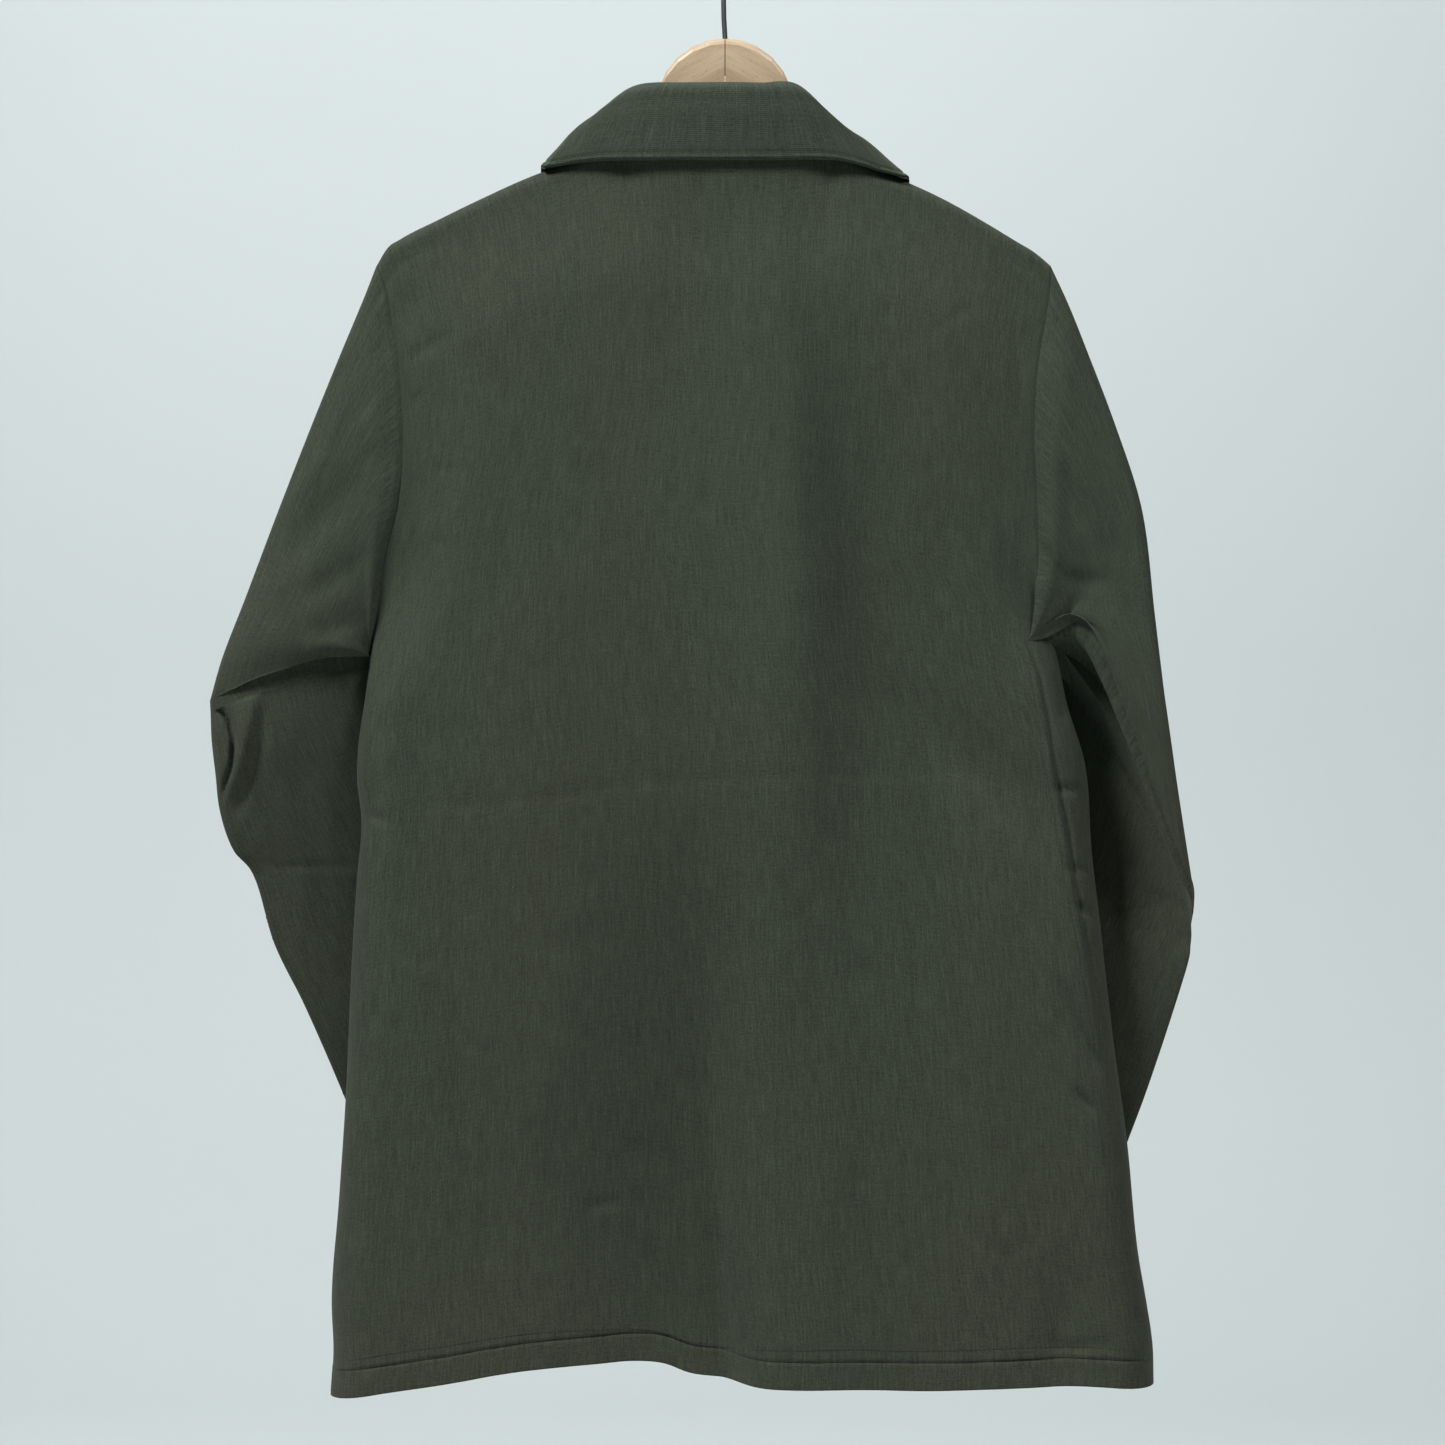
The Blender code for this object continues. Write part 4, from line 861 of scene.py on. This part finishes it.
def tuck_rings(first, last, profile):
    """Rings that lead the back half of the cloth from its fold edge in behind it and out again."""
    back = slice(0, SLEEVE_HALF + 1)
    levels = np.linspace(0.0, 1.0, TUCK_ROWS + 2)
    table = smooth_values([row[0] for row in profile], [row[1:] for row in profile], levels)
    share = close_at_ends(SLEEVE_HALF)
    swell = half_circle(share) ** 0.8 * soft_step(share / 0.10)
    along = np.gradient(first[back], axis=0)
    rise = unit(np.stack([-along[:, 2], np.zeros(len(along)), along[:, 0]], axis=-1))
    rise = rise * np.sign(rise[SLEEVE_HALF // 2, 2])
    rings = []
    for level, (lift, depth_share) in zip(levels, table):
        ring = mix(first, last, soft_step(level))
        ring[back, 1] = mix(first[back, 1], last[back, 1], depth_share)
        ring[back] += rise * (lift * swell)[:, None]
        rings.append(ring)
    return np.array(rings[1:-1])


def sleeve_parts(upper, edge, lower, flap, profile, armholes):
    corner = flap is FLAP_RIGHT
    above = [section_ring(row, *armholes, SLEEVE_HALF, None, corner) for row in upper]
    fold = section_ring(edge, *armholes, SLEEVE_HALF, flap, corner)
    below = [section_ring(row, *armholes, SLEEVE_HALF) for row in lower]
    between = tuck_rings(fold, below[0], profile)
    return blend_rings(above + [fold], UPPER_ROWS), between, blend_rings(below, LOWER_ROWS)


def build_sleeve(name, tables, creases, profile, armholes, seed, cloth):
    half = SLEEVE_HALF
    upper_rows, between, lower_rows = sleeve_parts(*tables, profile, armholes)
    share = close_at_ends(half)[1:-1]
    end_distance = np.minimum(share, 1.0 - share)
    for rows, own_creases in ((upper_rows, creases[0]), (lower_rows, creases[1])):
        back = rows[:, 1:half]
        x, z = sight(back[:, :, 0], back[:, :, 1], back[:, :, 2])
        dip = crease_depth(own_creases, x, z) + 0.8 * unevenness(x, z, 30.0, seed)
        back[:, :, 1] += soft_step(end_distance * 14.0) * dip
        front = rows[:, half + 1:]
        dip = unevenness(front[:, :, 0], front[:, :, 2], 32.0, seed + 5.0)
        front[:, :, 1] -= soft_step(end_distance[::-1] * 10.0) * dip
    reach = np.linalg.norm(upper_rows - upper_rows[0], axis=2)
    ridge = 0.35 * around(reach, 5.0, 2.6) - 0.4 * around(reach, 0.0, 1.2)
    ring_share = (1.0 - np.cos(math.pi * np.arange(2 * half) / half)) / 2.0
    side = soft_step(ring_share * 30.0) * soft_step((1.0 - ring_share) * 9.0)
    side[half + 1:] *= -1.0
    upper_rows[:, :, 1] -= ridge * side
    grid = np.concatenate([upper_rows, between, lower_rows])
    item = make_mesh(name + "_cloth", [(grid, True)], cloth)
    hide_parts(name)
    return item


def build_cuff(name, sections, armholes, cloth):
    """Wall of a cuff, drawn in at its start, rolled in at its mouth and led back inside."""
    rings = blend_rings([section_ring(row, *armholes, CUFF_HALF) for row in sections], CUFF_ROWS)
    start_centre = rings[0].mean(axis=0)
    start = start_centre + (rings[0] - start_centre) * np.array([0.99, 0.86, 0.99])
    mouth_centre = rings[-1].mean(axis=0)
    mouth = mouth_centre + (rings[-1] - mouth_centre) * np.array([0.985, 0.80, 0.985])
    inside = mouth + (rings[-CUFF_RETURN_ROWS] - rings[-1])
    grid = np.concatenate([[start], rings, [mouth], [inside]])
    item = make_mesh(name + "_cloth", [(grid, True)], cloth)
    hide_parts(name)
    return item


def collar_section(station):
    """Points across the collar: up the stand, over the roll and down the fall."""
    neck = station[0:3]
    roll = station[3:6]
    fall = station[6:9]
    away = unit(np.array([roll[0] * 0.35, roll[1], 0.0]))
    up = np.array([0.0, 0.0, 1.0])
    return np.array([
        neck,
        neck * 0.5 + roll * 0.5 - away * 0.8,
        neck * 0.16 + roll * 0.84 - away * 1.4,
        roll - away * 0.2 - up * 0.3,
        roll + away * 3.6,
        roll + away * 6.6 - up * 2.6,
        roll * 0.72 + fall * 0.28 + away * 6.4,
        roll * 0.34 + fall * 0.66 + away * 3.2,
        fall,
    ])


def collar_grid():
    knots = np.linspace(0.0, 1.0, len(COLLAR))
    stations = smooth_values(knots, COLLAR, np.linspace(0.0, 1.0, COLLAR_STATIONS))
    shares = np.linspace(0.0, 1.0, COLLAR_COLUMNS)
    return np.array([path_points(collar_section(row), shares) for row in stations])


def build_collar(cloth):
    grid = collar_grid()
    normals = sheet_normals(grid)
    if normals[COLLAR_STATIONS // 2, -2, 1] > 0.0:
        normals = -normals
    rough = unevenness(grid[:, :, 0], grid[:, :, 2], 22.0, 41.0)
    calm = np.sin(math.pi * np.linspace(0.0, 1.0, COLLAR_COLUMNS))
    grid = grid + normals * (0.35 * rough * calm)[:, :, None]
    to_edge = np.linalg.norm(grid - grid[:, -1:], axis=2)
    groove = 0.6 * around(to_edge, 3.2, 0.9)
    outer = grid - normals * groove[:, :, None]
    out = unit(grid[:, -1] - grid[:, -4])
    rolled = [outer[:, -1] + out * 0.25 - normals[:, -1] * 0.4, outer[:, -1] - normals[:, -1] * 0.9,
              outer[:, -4] - normals[:, -4] * 1.0]
    upper = np.concatenate([outer, np.stack(rolled, axis=1)], axis=1)
    under = grid - normals * (COLLAR_WALL + SEAM_GAP)
    lip = [under[:, -1] + out * 1.3, under[:, -1] + out * 1.4 - normals[:, -1] * 0.5,
           under[:, -1] - normals[:, -1] * 0.9]
    under = np.concatenate([under, np.stack(lip, axis=1)], axis=1)
    top_item = make_mesh("upper_collar_cloth", [(upper, False)], cloth, turned=True)
    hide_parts("upper_collar")
    under_item = make_mesh("under_collar_cloth", [(under, False)], cloth, turned=True)
    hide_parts("under_collar")
    return top_item, under_item


def hit_points(item, path, from_front):
    """Points and normals where evenly spaced sight lines through a path meet a piece."""
    rows = np.asarray(path, dtype=float)
    knots = path_lengths(rows)
    count = max(2, int(knots[-1] / STITCH_PITCH) + 1)
    at = np.linspace(0.0, knots[-1], count)
    line = np.stack([np.interp(at, knots, rows[:, 0]), np.interp(at, knots, rows[:, 1])], axis=-1)
    found = []
    for x, z in line:
        if from_front:
            start = Vector((x, 150.0, z)) * MM
            direction = Vector((0.0, -1.0, 0.0))
        else:
            start = Vector(VIEW_POINT) * MM
            direction = (Vector((x, 0.0, z)) * MM - start).normalized()
        hit, place, normal, _ = item.ray_cast(start, direction)
        if hit:
            if normal.dot(direction) > 0.0:
                normal = -normal
            found.append((np.array(place) / MM, np.array(normal)))
    return found


def stitch_shapes(found):
    """Small rounded stitches lying along a line of surface points."""
    points = []
    faces = []
    rings = [(-0.5, 0.35), (-0.2, 1.0), (0.2, 1.0), (0.5, 0.35)]
    for (first, normal), (second, _) in zip(found, found[1:]):
        gap = np.linalg.norm(second - first)
        if gap > LONGEST_STITCH_GAP or gap < SHORTEST_STITCH_GAP:
            continue
        along = (second - first) / gap
        across = unit(np.cross(normal, along))
        middle = (first + second) / 2.0
        base = len(points)
        for place, size in rings:
            centre = middle + along * STITCH_LENGTH * place
            for turn in range(5):
                angle = math.pi * turn / 4.0
                offset = across * math.cos(angle) * STITCH_WIDTH / 2.0
                offset = offset + normal * math.sin(angle) * STITCH_HEIGHT
                points.append((centre + offset * size) * MM)
        for ring in range(3):
            for turn in range(4):
                start = base + ring * 5 + turn
                faces.append((start, start + 1, start + 6, start + 5))
    return points, faces


def build_stitching(name, lines, thread):
    points = []
    faces = []
    for item, path, from_front in lines:
        own_points, own_faces = stitch_shapes(hit_points(item, path, from_front))
        shift = len(points)
        points += own_points
        faces += [tuple(index + shift for index in face) for face in own_faces]
    mesh = bpy.data.meshes.new(name)
    mesh.from_pydata([tuple(point) for point in points], [], faces)
    return add_smooth(name, mesh, thread)


def hem_path(table, rise, left_x, right_x):
    xs = np.linspace(left_x, right_x, HEM_STITCH_POINTS)
    return [(x, z + rise) for x, z in zip(xs, table_values(table, xs))]


def lathe_rings(profile, centre, axes, count):
    """Rings round the last of three axes, one for each radius and level of the profile."""
    across, upward, direction = axes
    angles = 2.0 * math.pi * np.arange(count) / count
    circle = np.outer(np.cos(angles), across) + np.outer(np.sin(angles), upward)
    return np.array([centre + direction * level + radius * circle for radius, level in profile])


def thread_rings(middle, line, direction):
    """Rings of one stretch of thread that arches over a button."""
    side = np.cross(direction, line)
    turns = np.linspace(0.0, 2.0 * math.pi, 9)[:-1]
    circle = np.outer(np.cos(turns), side * 0.4) + np.outer(np.sin(turns), direction * 0.35)
    rings = []
    for place in np.linspace(-THREAD_REACH, THREAD_REACH, 9):
        rise = THREAD_RISE * (1.0 - (place / THREAD_REACH) ** 2)
        rings.append(middle + line * place + direction * rise + circle)
    return np.array(rings)


def build_button(node, centre, plastic, thread):
    """Moulded four-hole button with a raised rim and crossed thread, facing +Y."""
    direction = np.array([0.0, 1.0, 0.0])
    across = np.array([1.0, 0.0, 0.0])
    upward = np.cross(direction, across)
    axes = (across, upward, direction)
    centre = np.asarray(centre)
    item = make_mesh(node + "_resin", [(lathe_rings(BUTTON_PROFILE, centre, axes, 40), True)], plastic)
    parts = []
    for side_x, side_z in ((-1, -1), (-1, 1), (1, -1), (1, 1)):
        spot = centre + (across * side_x + upward * side_z) * HOLE_OFFSET + direction * HOLE_LEVEL
        parts.append((lathe_rings(HOLE_PROFILE, spot, axes, 12), True))
    for turn in (45.0, 135.0):
        angle = math.radians(turn)
        line = across * math.cos(angle) + upward * math.sin(angle)
        parts.append((thread_rings(centre + direction * THREAD_LEVEL, line, direction), True))
    stitched = make_mesh(node + "_resin_thread", parts, thread)
    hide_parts(node)
    return item, stitched


def get_nodes(name):
    material = bpy.data.materials.new(name)
    material.use_nodes = True
    tree = material.node_tree
    return material, tree, tree.nodes["Principled BSDF"]


def plug(tree, node, values):
    """Sets each input of a node to a plain value or colour, or links it to another node's output."""
    for key, value in values.items():
        socket = node.inputs[key]
        if isinstance(value, bpy.types.NodeSocket):
            tree.links.new(value, socket)
        elif isinstance(value, tuple):
            socket.default_value = (*value, 1.0)
        else:
            socket.default_value = value


def scaled_coordinates(tree, source, scale):
    coordinates = tree.nodes.new("ShaderNodeTexCoord")
    mapping = tree.nodes.new("ShaderNodeMapping")
    mapping.inputs["Scale"].default_value = scale
    tree.links.new(coordinates.outputs[source], mapping.inputs["Vector"])
    return mapping.outputs["Vector"]


def noise_node(tree, vector, detail, rough):
    node = tree.nodes.new("ShaderNodeTexNoise")
    plug(tree, node, {"Vector": vector, "Scale": 1.0, "Detail": detail, "Roughness": rough})
    return node.outputs["Fac"]


def noise_at(tree, source, scale, detail, rough):
    return noise_node(tree, scaled_coordinates(tree, source, scale), detail, rough)


def woven_threads(tree, direction):
    """Bands of one millimetre across one direction of the cloth."""
    node = tree.nodes.new("ShaderNodeTexWave")
    node.wave_type = "BANDS"
    node.bands_direction = direction
    plug(tree, node, {"Vector": scaled_coordinates(tree, "UV", UV_MM), "Scale": WAVE_SCALE})
    return node.outputs["Fac"]


def math_node(tree, operation, first, second):
    node = tree.nodes.new("ShaderNodeMath")
    node.operation = operation
    plug(tree, node, {0: first, 1: second})
    return node.outputs[0]


def times(tree, first, second):
    return math_node(tree, "MULTIPLY", first, second)


def total(tree, terms):
    result = terms[0]
    for term in terms[1:]:
        result = math_node(tree, "ADD", result, term)
    return result


def remap(tree, value, low, high, to_low, to_high):
    node = tree.nodes.new("ShaderNodeMapRange")
    plug(tree, node, {"Value": value, "From Min": low, "From Max": high})
    plug(tree, node, {"To Min": to_low, "To Max": to_high})
    return node.outputs["Result"]


def mix_colours(tree, share, first, second):
    node = tree.nodes.new("ShaderNodeMix")
    node.data_type = "RGBA"
    plug(tree, node, {"Factor": share, 6: first, 7: second})
    return node.outputs[2]


def two_tone(tree, value, low, high, first, second):
    return mix_colours(tree, remap(tree, value, low, high, 0.0, 1.0), first, second)


def shade(tree, colour, factor):
    """A colour times a grey factor."""
    node = tree.nodes.new("ShaderNodeVectorMath")
    node.operation = "SCALE"
    plug(tree, node, {0: colour, "Scale": factor})
    return node.outputs["Vector"]


def bump(tree, height, strength, distance):
    node = tree.nodes.new("ShaderNodeBump")
    plug(tree, node, {"Height": height, "Strength": strength, "Distance": distance})
    return node.outputs["Normal"]


def cloth_material(name, green, brown):
    """Plain-woven cotton: crossing threads, slubs, faint mottling, browner towards the hem."""
    material, tree, shader = get_nodes(name)
    slub = noise_at(tree, "UV", (1000.0, 60.0, 1.0), 2.0, 0.6)
    weft_slub = noise_at(tree, "UV", (70.0, 1000.0, 1.0), 2.0, 0.6)
    grain = noise_at(tree, "UV", (760.0, 700.0, 1.0), 3.0, 0.75)
    cloud = noise_at(tree, "Object", (6.0, 6.0, 3.0), 2.0, 0.5)
    streak = noise_at(tree, "UV", (210.0, 7.0, 1.0), 2.0, 0.5)
    mottle = noise_at(tree, "Object", (60.0, 60.0, 45.0), 3.0, 0.6)
    place = tree.nodes.new("ShaderNodeSeparateXYZ")
    plug(tree, place, {0: scaled_coordinates(tree, "Object", (1.0, 1.0, 1.0))})
    lower = remap(tree, place.outputs["Z"], -0.90, -0.35, 0.55, 0.0)
    brownness = total(tree, [remap(tree, cloud, 0.35, 0.65, 0.0, 0.55), lower])
    tone = total(tree, [
        remap(tree, slub, 0.40, 0.80, 0.90, 1.42),
        remap(tree, weft_slub, 0.3, 0.7, -0.10, 0.11),
        remap(tree, grain, 0.25, 0.75, -0.42, 0.42),
        remap(tree, mottle, 0.3, 0.7, -0.04, 0.04),
        remap(tree, streak, 0.3, 0.7, -0.06, 0.06),
    ])
    weave = times(tree, woven_threads(tree, "X"), woven_threads(tree, "Y"))
    height = total(tree, [times(tree, weave, 0.5), times(tree, slub, 0.7), times(tree, grain, 0.5)])
    plug(tree, shader, {
        "Base Color": shade(tree, mix_colours(tree, brownness, green, brown), tone),
        "Roughness": remap(tree, grain, 0.0, 1.0, 0.82, 0.98),
        "Normal": bump(tree, height, 0.6, 0.0004),
        "Sheen Weight": 0.05,
        "Sheen Roughness": 0.45,
        "Specular IOR Level": 0.22,
    })
    return material


# Stitching thread: its dark colour is partly the thread's own and partly painted shade of the stitch grooves
def thread_and_groove_shade_material():
    material, tree, shader = get_nodes("seam_thread_and_painted_groove_shade")
    twist = noise_at(tree, "Object", (2500.0, 2500.0, 2500.0), 2.0, 0.5)
    dark = tuple(0.6 * value for value in THREAD_AND_GROOVE_SHADE_COLOUR)
    plug(tree, shader, {
        "Base Color": two_tone(tree, twist, 0.3, 0.7, THREAD_AND_GROOVE_SHADE_COLOUR, dark),
        "Roughness": 0.75,
        "Sheen Weight": 0.1,
    })
    return material


def plastic_material():
    material, tree, shader = get_nodes("button_resin")
    swirl = noise_at(tree, "Object", (160.0, 160.0, 420.0), 4.0, 0.6)
    plug(tree, shader, {
        "Base Color": two_tone(tree, swirl, 0.35, 0.65, (0.030, 0.037, 0.025), (0.052, 0.060, 0.042)),
        "Roughness": remap(tree, swirl, 0.2, 0.8, 0.34, 0.5),
        "Normal": bump(tree, swirl, 0.15, 0.0001),
    })
    return material


def wood_material():
    """Pale beech in two halves glued in the middle, its grain slanting away from the joint, with flecks."""
    material, tree, shader = get_nodes("beech_grain")
    coordinates = tree.nodes.new("ShaderNodeTexCoord")
    split = tree.nodes.new("ShaderNodeSeparateXYZ")
    plug(tree, split, {0: coordinates.outputs["Object"]})
    side = math_node(tree, "ABSOLUTE", split.outputs["X"], 0.0)
    across = math_node(tree, "SUBTRACT", times(tree, side, 0.50), times(tree, split.outputs["Z"], -0.87))
    along = total(tree, [times(tree, side, 0.87), times(tree, split.outputs["Z"], -0.50)])

    def grain_noise(across_scale, along_scale, detail, rough):
        join = tree.nodes.new("ShaderNodeCombineXYZ")
        plug(tree, join, {
            0: times(tree, across, across_scale),
            1: times(tree, split.outputs["Y"], across_scale * 0.6),
            2: times(tree, along, along_scale),
        })
        return noise_node(tree, join.outputs[0], detail, rough)

    bands = grain_noise(190.0, 9.0, 3.0, 0.55)
    fibres = grain_noise(1500.0, 60.0, 2.0, 0.6)
    flecks = grain_noise(1700.0, 260.0, 1.0, 0.4)
    base = two_tone(tree, bands, 0.35, 0.68, (0.53, 0.41, 0.275), (0.42, 0.30, 0.19))
    base = shade(tree, base, remap(tree, fibres, 0.3, 0.7, 0.93, 1.06))
    base = mix_colours(tree, remap(tree, flecks, 0.66, 0.74, 0.0, 0.55), base, (0.20, 0.12, 0.07))
    glue = remap(tree, side, 0.0001, 0.0005, 0.75, 0.0)
    plug(tree, shader, {
        "Base Color": mix_colours(tree, glue, base, (0.22, 0.14, 0.09)),
        "Roughness": remap(tree, fibres, 0.2, 0.8, 0.42, 0.6),
        "Normal": bump(tree, fibres, 0.2, 0.0002),
        "Coat Weight": 0.12,
        "Coat Roughness": 0.35,
    })
    return material


def steel_material():
    material, tree, shader = get_nodes("plated_wire")
    brushed = noise_at(tree, "Object", (900.0, 900.0, 90.0), 3.0, 0.6)
    plug(tree, shader, {
        "Base Color": two_tone(tree, brushed, 0.3, 0.7, (0.40, 0.42, 0.44), (0.30, 0.32, 0.34)),
        "Roughness": remap(tree, brushed, 0.2, 0.8, 0.25, 0.4),
        "Metallic": 1.0,
    })
    return material


def stage_material():
    material, tree, shader = get_nodes("pale_floor")
    cloud = noise_at(tree, "Object", (1.3, 1.3, 1.3), 2.0, 0.5)
    darker = tuple(0.985 * value for value in STAGE_COLOUR)
    plug(tree, shader, {
        "Base Color": two_tone(tree, cloud, 0.3, 0.7, STAGE_COLOUR, darker),
        "Roughness": 0.95,
        "Specular IOR Level": 0.1,
    })
    return material


def build_stage():
    """Pale floor that sweeps up into a far wall, in millimetres like the rest."""
    profile = [(-STAGE_REACH, FLOOR_LEVEL)]
    for index in range(BEND_STEPS + 1):
        angle = math.radians(90.0 * index / BEND_STEPS)
        rise = BEND_RADIUS * (1.0 - math.cos(angle))
        profile.append((BEND_START + BEND_RADIUS * math.sin(angle), FLOOR_LEVEL + rise))
    profile.append((BEND_START + BEND_RADIUS, WALL_TOP))
    grid = np.array([[(x, y, z) for x in (-STAGE_REACH, 0.0, STAGE_REACH)] for y, z in profile])
    make_mesh("floor", [(grid, False)], stage_material())


def add_light(name, place, aim, size, power, colour):
    data = bpy.data.lights.new(name, "AREA")
    data.shape = "RECTANGLE"
    data.size = size[0]
    data.size_y = size[1]
    data.energy = power
    data.color = colour
    light = add_object(name, data)
    light.location = place
    light.rotation_euler = (Vector(aim) - Vector(place)).to_track_quat("-Z", "Y").to_euler()
    light.visible_camera = False


def build_lighting():
    world = bpy.data.worlds.new("studio")
    bpy.context.scene.world = world
    world.use_nodes = True
    background = world.node_tree.nodes["Background"]
    background.inputs["Color"].default_value = (*WORLD_COLOUR, 1.0)
    background.inputs["Strength"].default_value = WORLD_STRENGTH
    add_light("key", (-1.9, -1.75, 2.7), (0.0, 0.0, -0.42), (1.0, 1.0), KEY_POWER, (1.0, 0.99, 0.96))
    add_light("fill", (1.9, -1.75, 2.7), (0.0, 0.0, -0.42), (1.0, 1.0), FILL_POWER, (1.0, 0.99, 0.96))
    add_light("top", (0.0, 0.2, 1.3), (0.0, 0.0, -0.4), (1.4, 1.0), TOP_POWER, (0.98, 0.99, 1.0))
    add_light("wall_wash", (-0.15, 0.9, 1.9), (-0.1, 3.2, -0.3), (3.4, 1.2), WALL_POWER, (0.96, 0.99, 1.0))
    scene = bpy.context.scene
    scene.view_settings.view_transform = "Standard"
    scene.view_settings.look = "None"
    scene.view_settings.exposure = 0.0
    scene.view_settings.gamma = 1.0


def build_camera():
    data = bpy.data.cameras.new("camera")
    data.lens = LENS
    data.sensor_width = SENSOR
    data.clip_end = 50.0
    camera = add_object("camera", data)
    camera.location = Vector(VIEW_POINT) * MM
    camera.rotation_euler = (math.radians(90.0), 0.0, 0.0)
    bpy.context.scene.camera = camera


def dress_node(name, material):
    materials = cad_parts[name].data.materials
    materials.clear()
    materials.append(material)


def build_all_stitching(pieces, thread):
    """Stitching of each piece, along paths of x, z that are seen from the back or from the front."""
    back, front_left, front_right, sleeve_left, cuff_left, cuff_right, placket, upper_collar = pieces
    fall_edge = [(row[6], row[8] + 3.6) for row in COLLAR[7:14]]
    return [build_stitching(name, lines, thread) for name, lines in (
        ("back_stitching", [
            (back, hem_path(HEM_BACK, HEM_TURN, -241.0, 262.0), False),
            (back, LABEL_STITCHES, False),
            (back, shifted(SIDE_SEAM, -2.0, 0.0), False),
            (back, shifted(SIDE_SEAM, -6.5, -1.0), False),
        ]),
        ("front_stitching", [
            (front_left, hem_path(HEM_FRONT, HEM_TURN, -238.0, -20.0), True),
            (front_right, hem_path(HEM_FRONT, HEM_TURN, 20.0, 258.0), True),
        ]),
        ("placket_stitching", [
            (placket, [(-13.0, -228.0), (-13.0, -905.0)], True),
            (placket, [(13.0, -228.0), (13.0, -905.0)], True),
        ]),
        ("collar_stitching", [(upper_collar, fall_edge, False)]),
        ("sleeve_stitching", [
            (sleeve_left, FORE_SEAM_LEFT, False),
            (sleeve_left, shifted(FORE_SEAM_LEFT, 3.4, 0.0), False),
        ]),
        ("cuff_stitching", [
            (cuff_left, [(-233.0, -750.0), (-123.0, -716.0)], True),
            (cuff_left, [(-215.0, -797.0), (-103.0, -765.0)], True),
            (cuff_right, [(247.0, -777.0), (135.0, -742.0)], True),
            (cuff_right, [(231.0, -825.0), (117.0, -790.0)], True),
        ]),
    )]


def build_buttons(resin, thread):
    """Buttons down the front and on the cuffs, each with its thread."""
    places = []
    for index in range(BUTTON_COUNT):
        z = BUTTON_TOP - BUTTON_STEP * index
        y = float(front_outer_y([0.0], [z])[0]) + BUTTON_LIFT + BAND_WALL
        places.append(("button_%d" % (index + 1), (0.0, y, z)))
    for node in ("cuff_button_left", "cuff_button_right"):
        low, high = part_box(node)
        middle = (low + high) / 2.0 / MM
        places.append((node, (middle[0], middle[1] - CUFF_BUTTON_SINK, middle[2])))
    pairs = [build_button(node, centre, resin, thread) for node, centre in places]
    return [pair[0] for pair in pairs], [pair[1] for pair in pairs]


def main():
    cloth = cloth_material("shirt_cotton", SHIRT_GREEN, SHIRT_BROWN)
    collar_cotton = cloth_material("collar_cotton", COLLAR_GREEN, COLLAR_BROWN)
    thread = thread_and_groove_shade_material()
    wood = wood_material()

    back = build_back(cloth)
    front_left, front_right = build_fronts(cloth)
    left_holes = (ARMHOLE_BACK_LEFT, ARMHOLE_FRONT_LEFT)
    right_holes = (ARMHOLE_BACK_RIGHT, ARMHOLE_FRONT_RIGHT)
    sleeve_left = build_sleeve("sleeve_left", (UPPER_LEFT, EDGE_LEFT, LOWER_LEFT, FLAP_LEFT),
                               (UPPER_LEFT_CREASES, LOWER_LEFT_CREASES), TUCK_PLAIN, left_holes, 11.0, cloth)
    sleeve_right = build_sleeve("sleeve_right", (UPPER_RIGHT, EDGE_RIGHT, LOWER_RIGHT, FLAP_RIGHT),
                                (UPPER_RIGHT_CREASES, LOWER_RIGHT_CREASES), TUCK_LIPPED, right_holes, 15.0,
                                cloth)
    cuff_left = build_cuff("cuff_left", CUFF_LEFT, left_holes, cloth)
    cuff_right = build_cuff("cuff_right", CUFF_RIGHT, right_holes, cloth)
    upper_collar, under_collar = build_collar(collar_cotton)
    placket = build_placket(cloth)
    bpy.context.view_layer.update()

    stitches = build_all_stitching(
        (back, front_left, front_right, sleeve_left, cuff_left, cuff_right, placket, upper_collar), thread)
    buttons, button_threads = build_buttons(plastic_material(), thread)

    shirt_pieces = [back, front_left, front_right, sleeve_left, sleeve_right, cuff_left, cuff_right, placket]
    for items, slot in (
        (shirt_pieces + stitches + button_threads, "shirt_cloth"),
        ([upper_collar, under_collar], "collar_cloth"),
        (buttons, "button_plastic"),
    ):
        for item in items:
            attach(item, "root")

    hanger = ["hanger_half_left", "hanger_half_right"]
    for name in hanger:
        dress_node(name, wood)
    dress_node("hook", steel_material())

    build_stage()
    build_lighting()
    build_camera()


main()
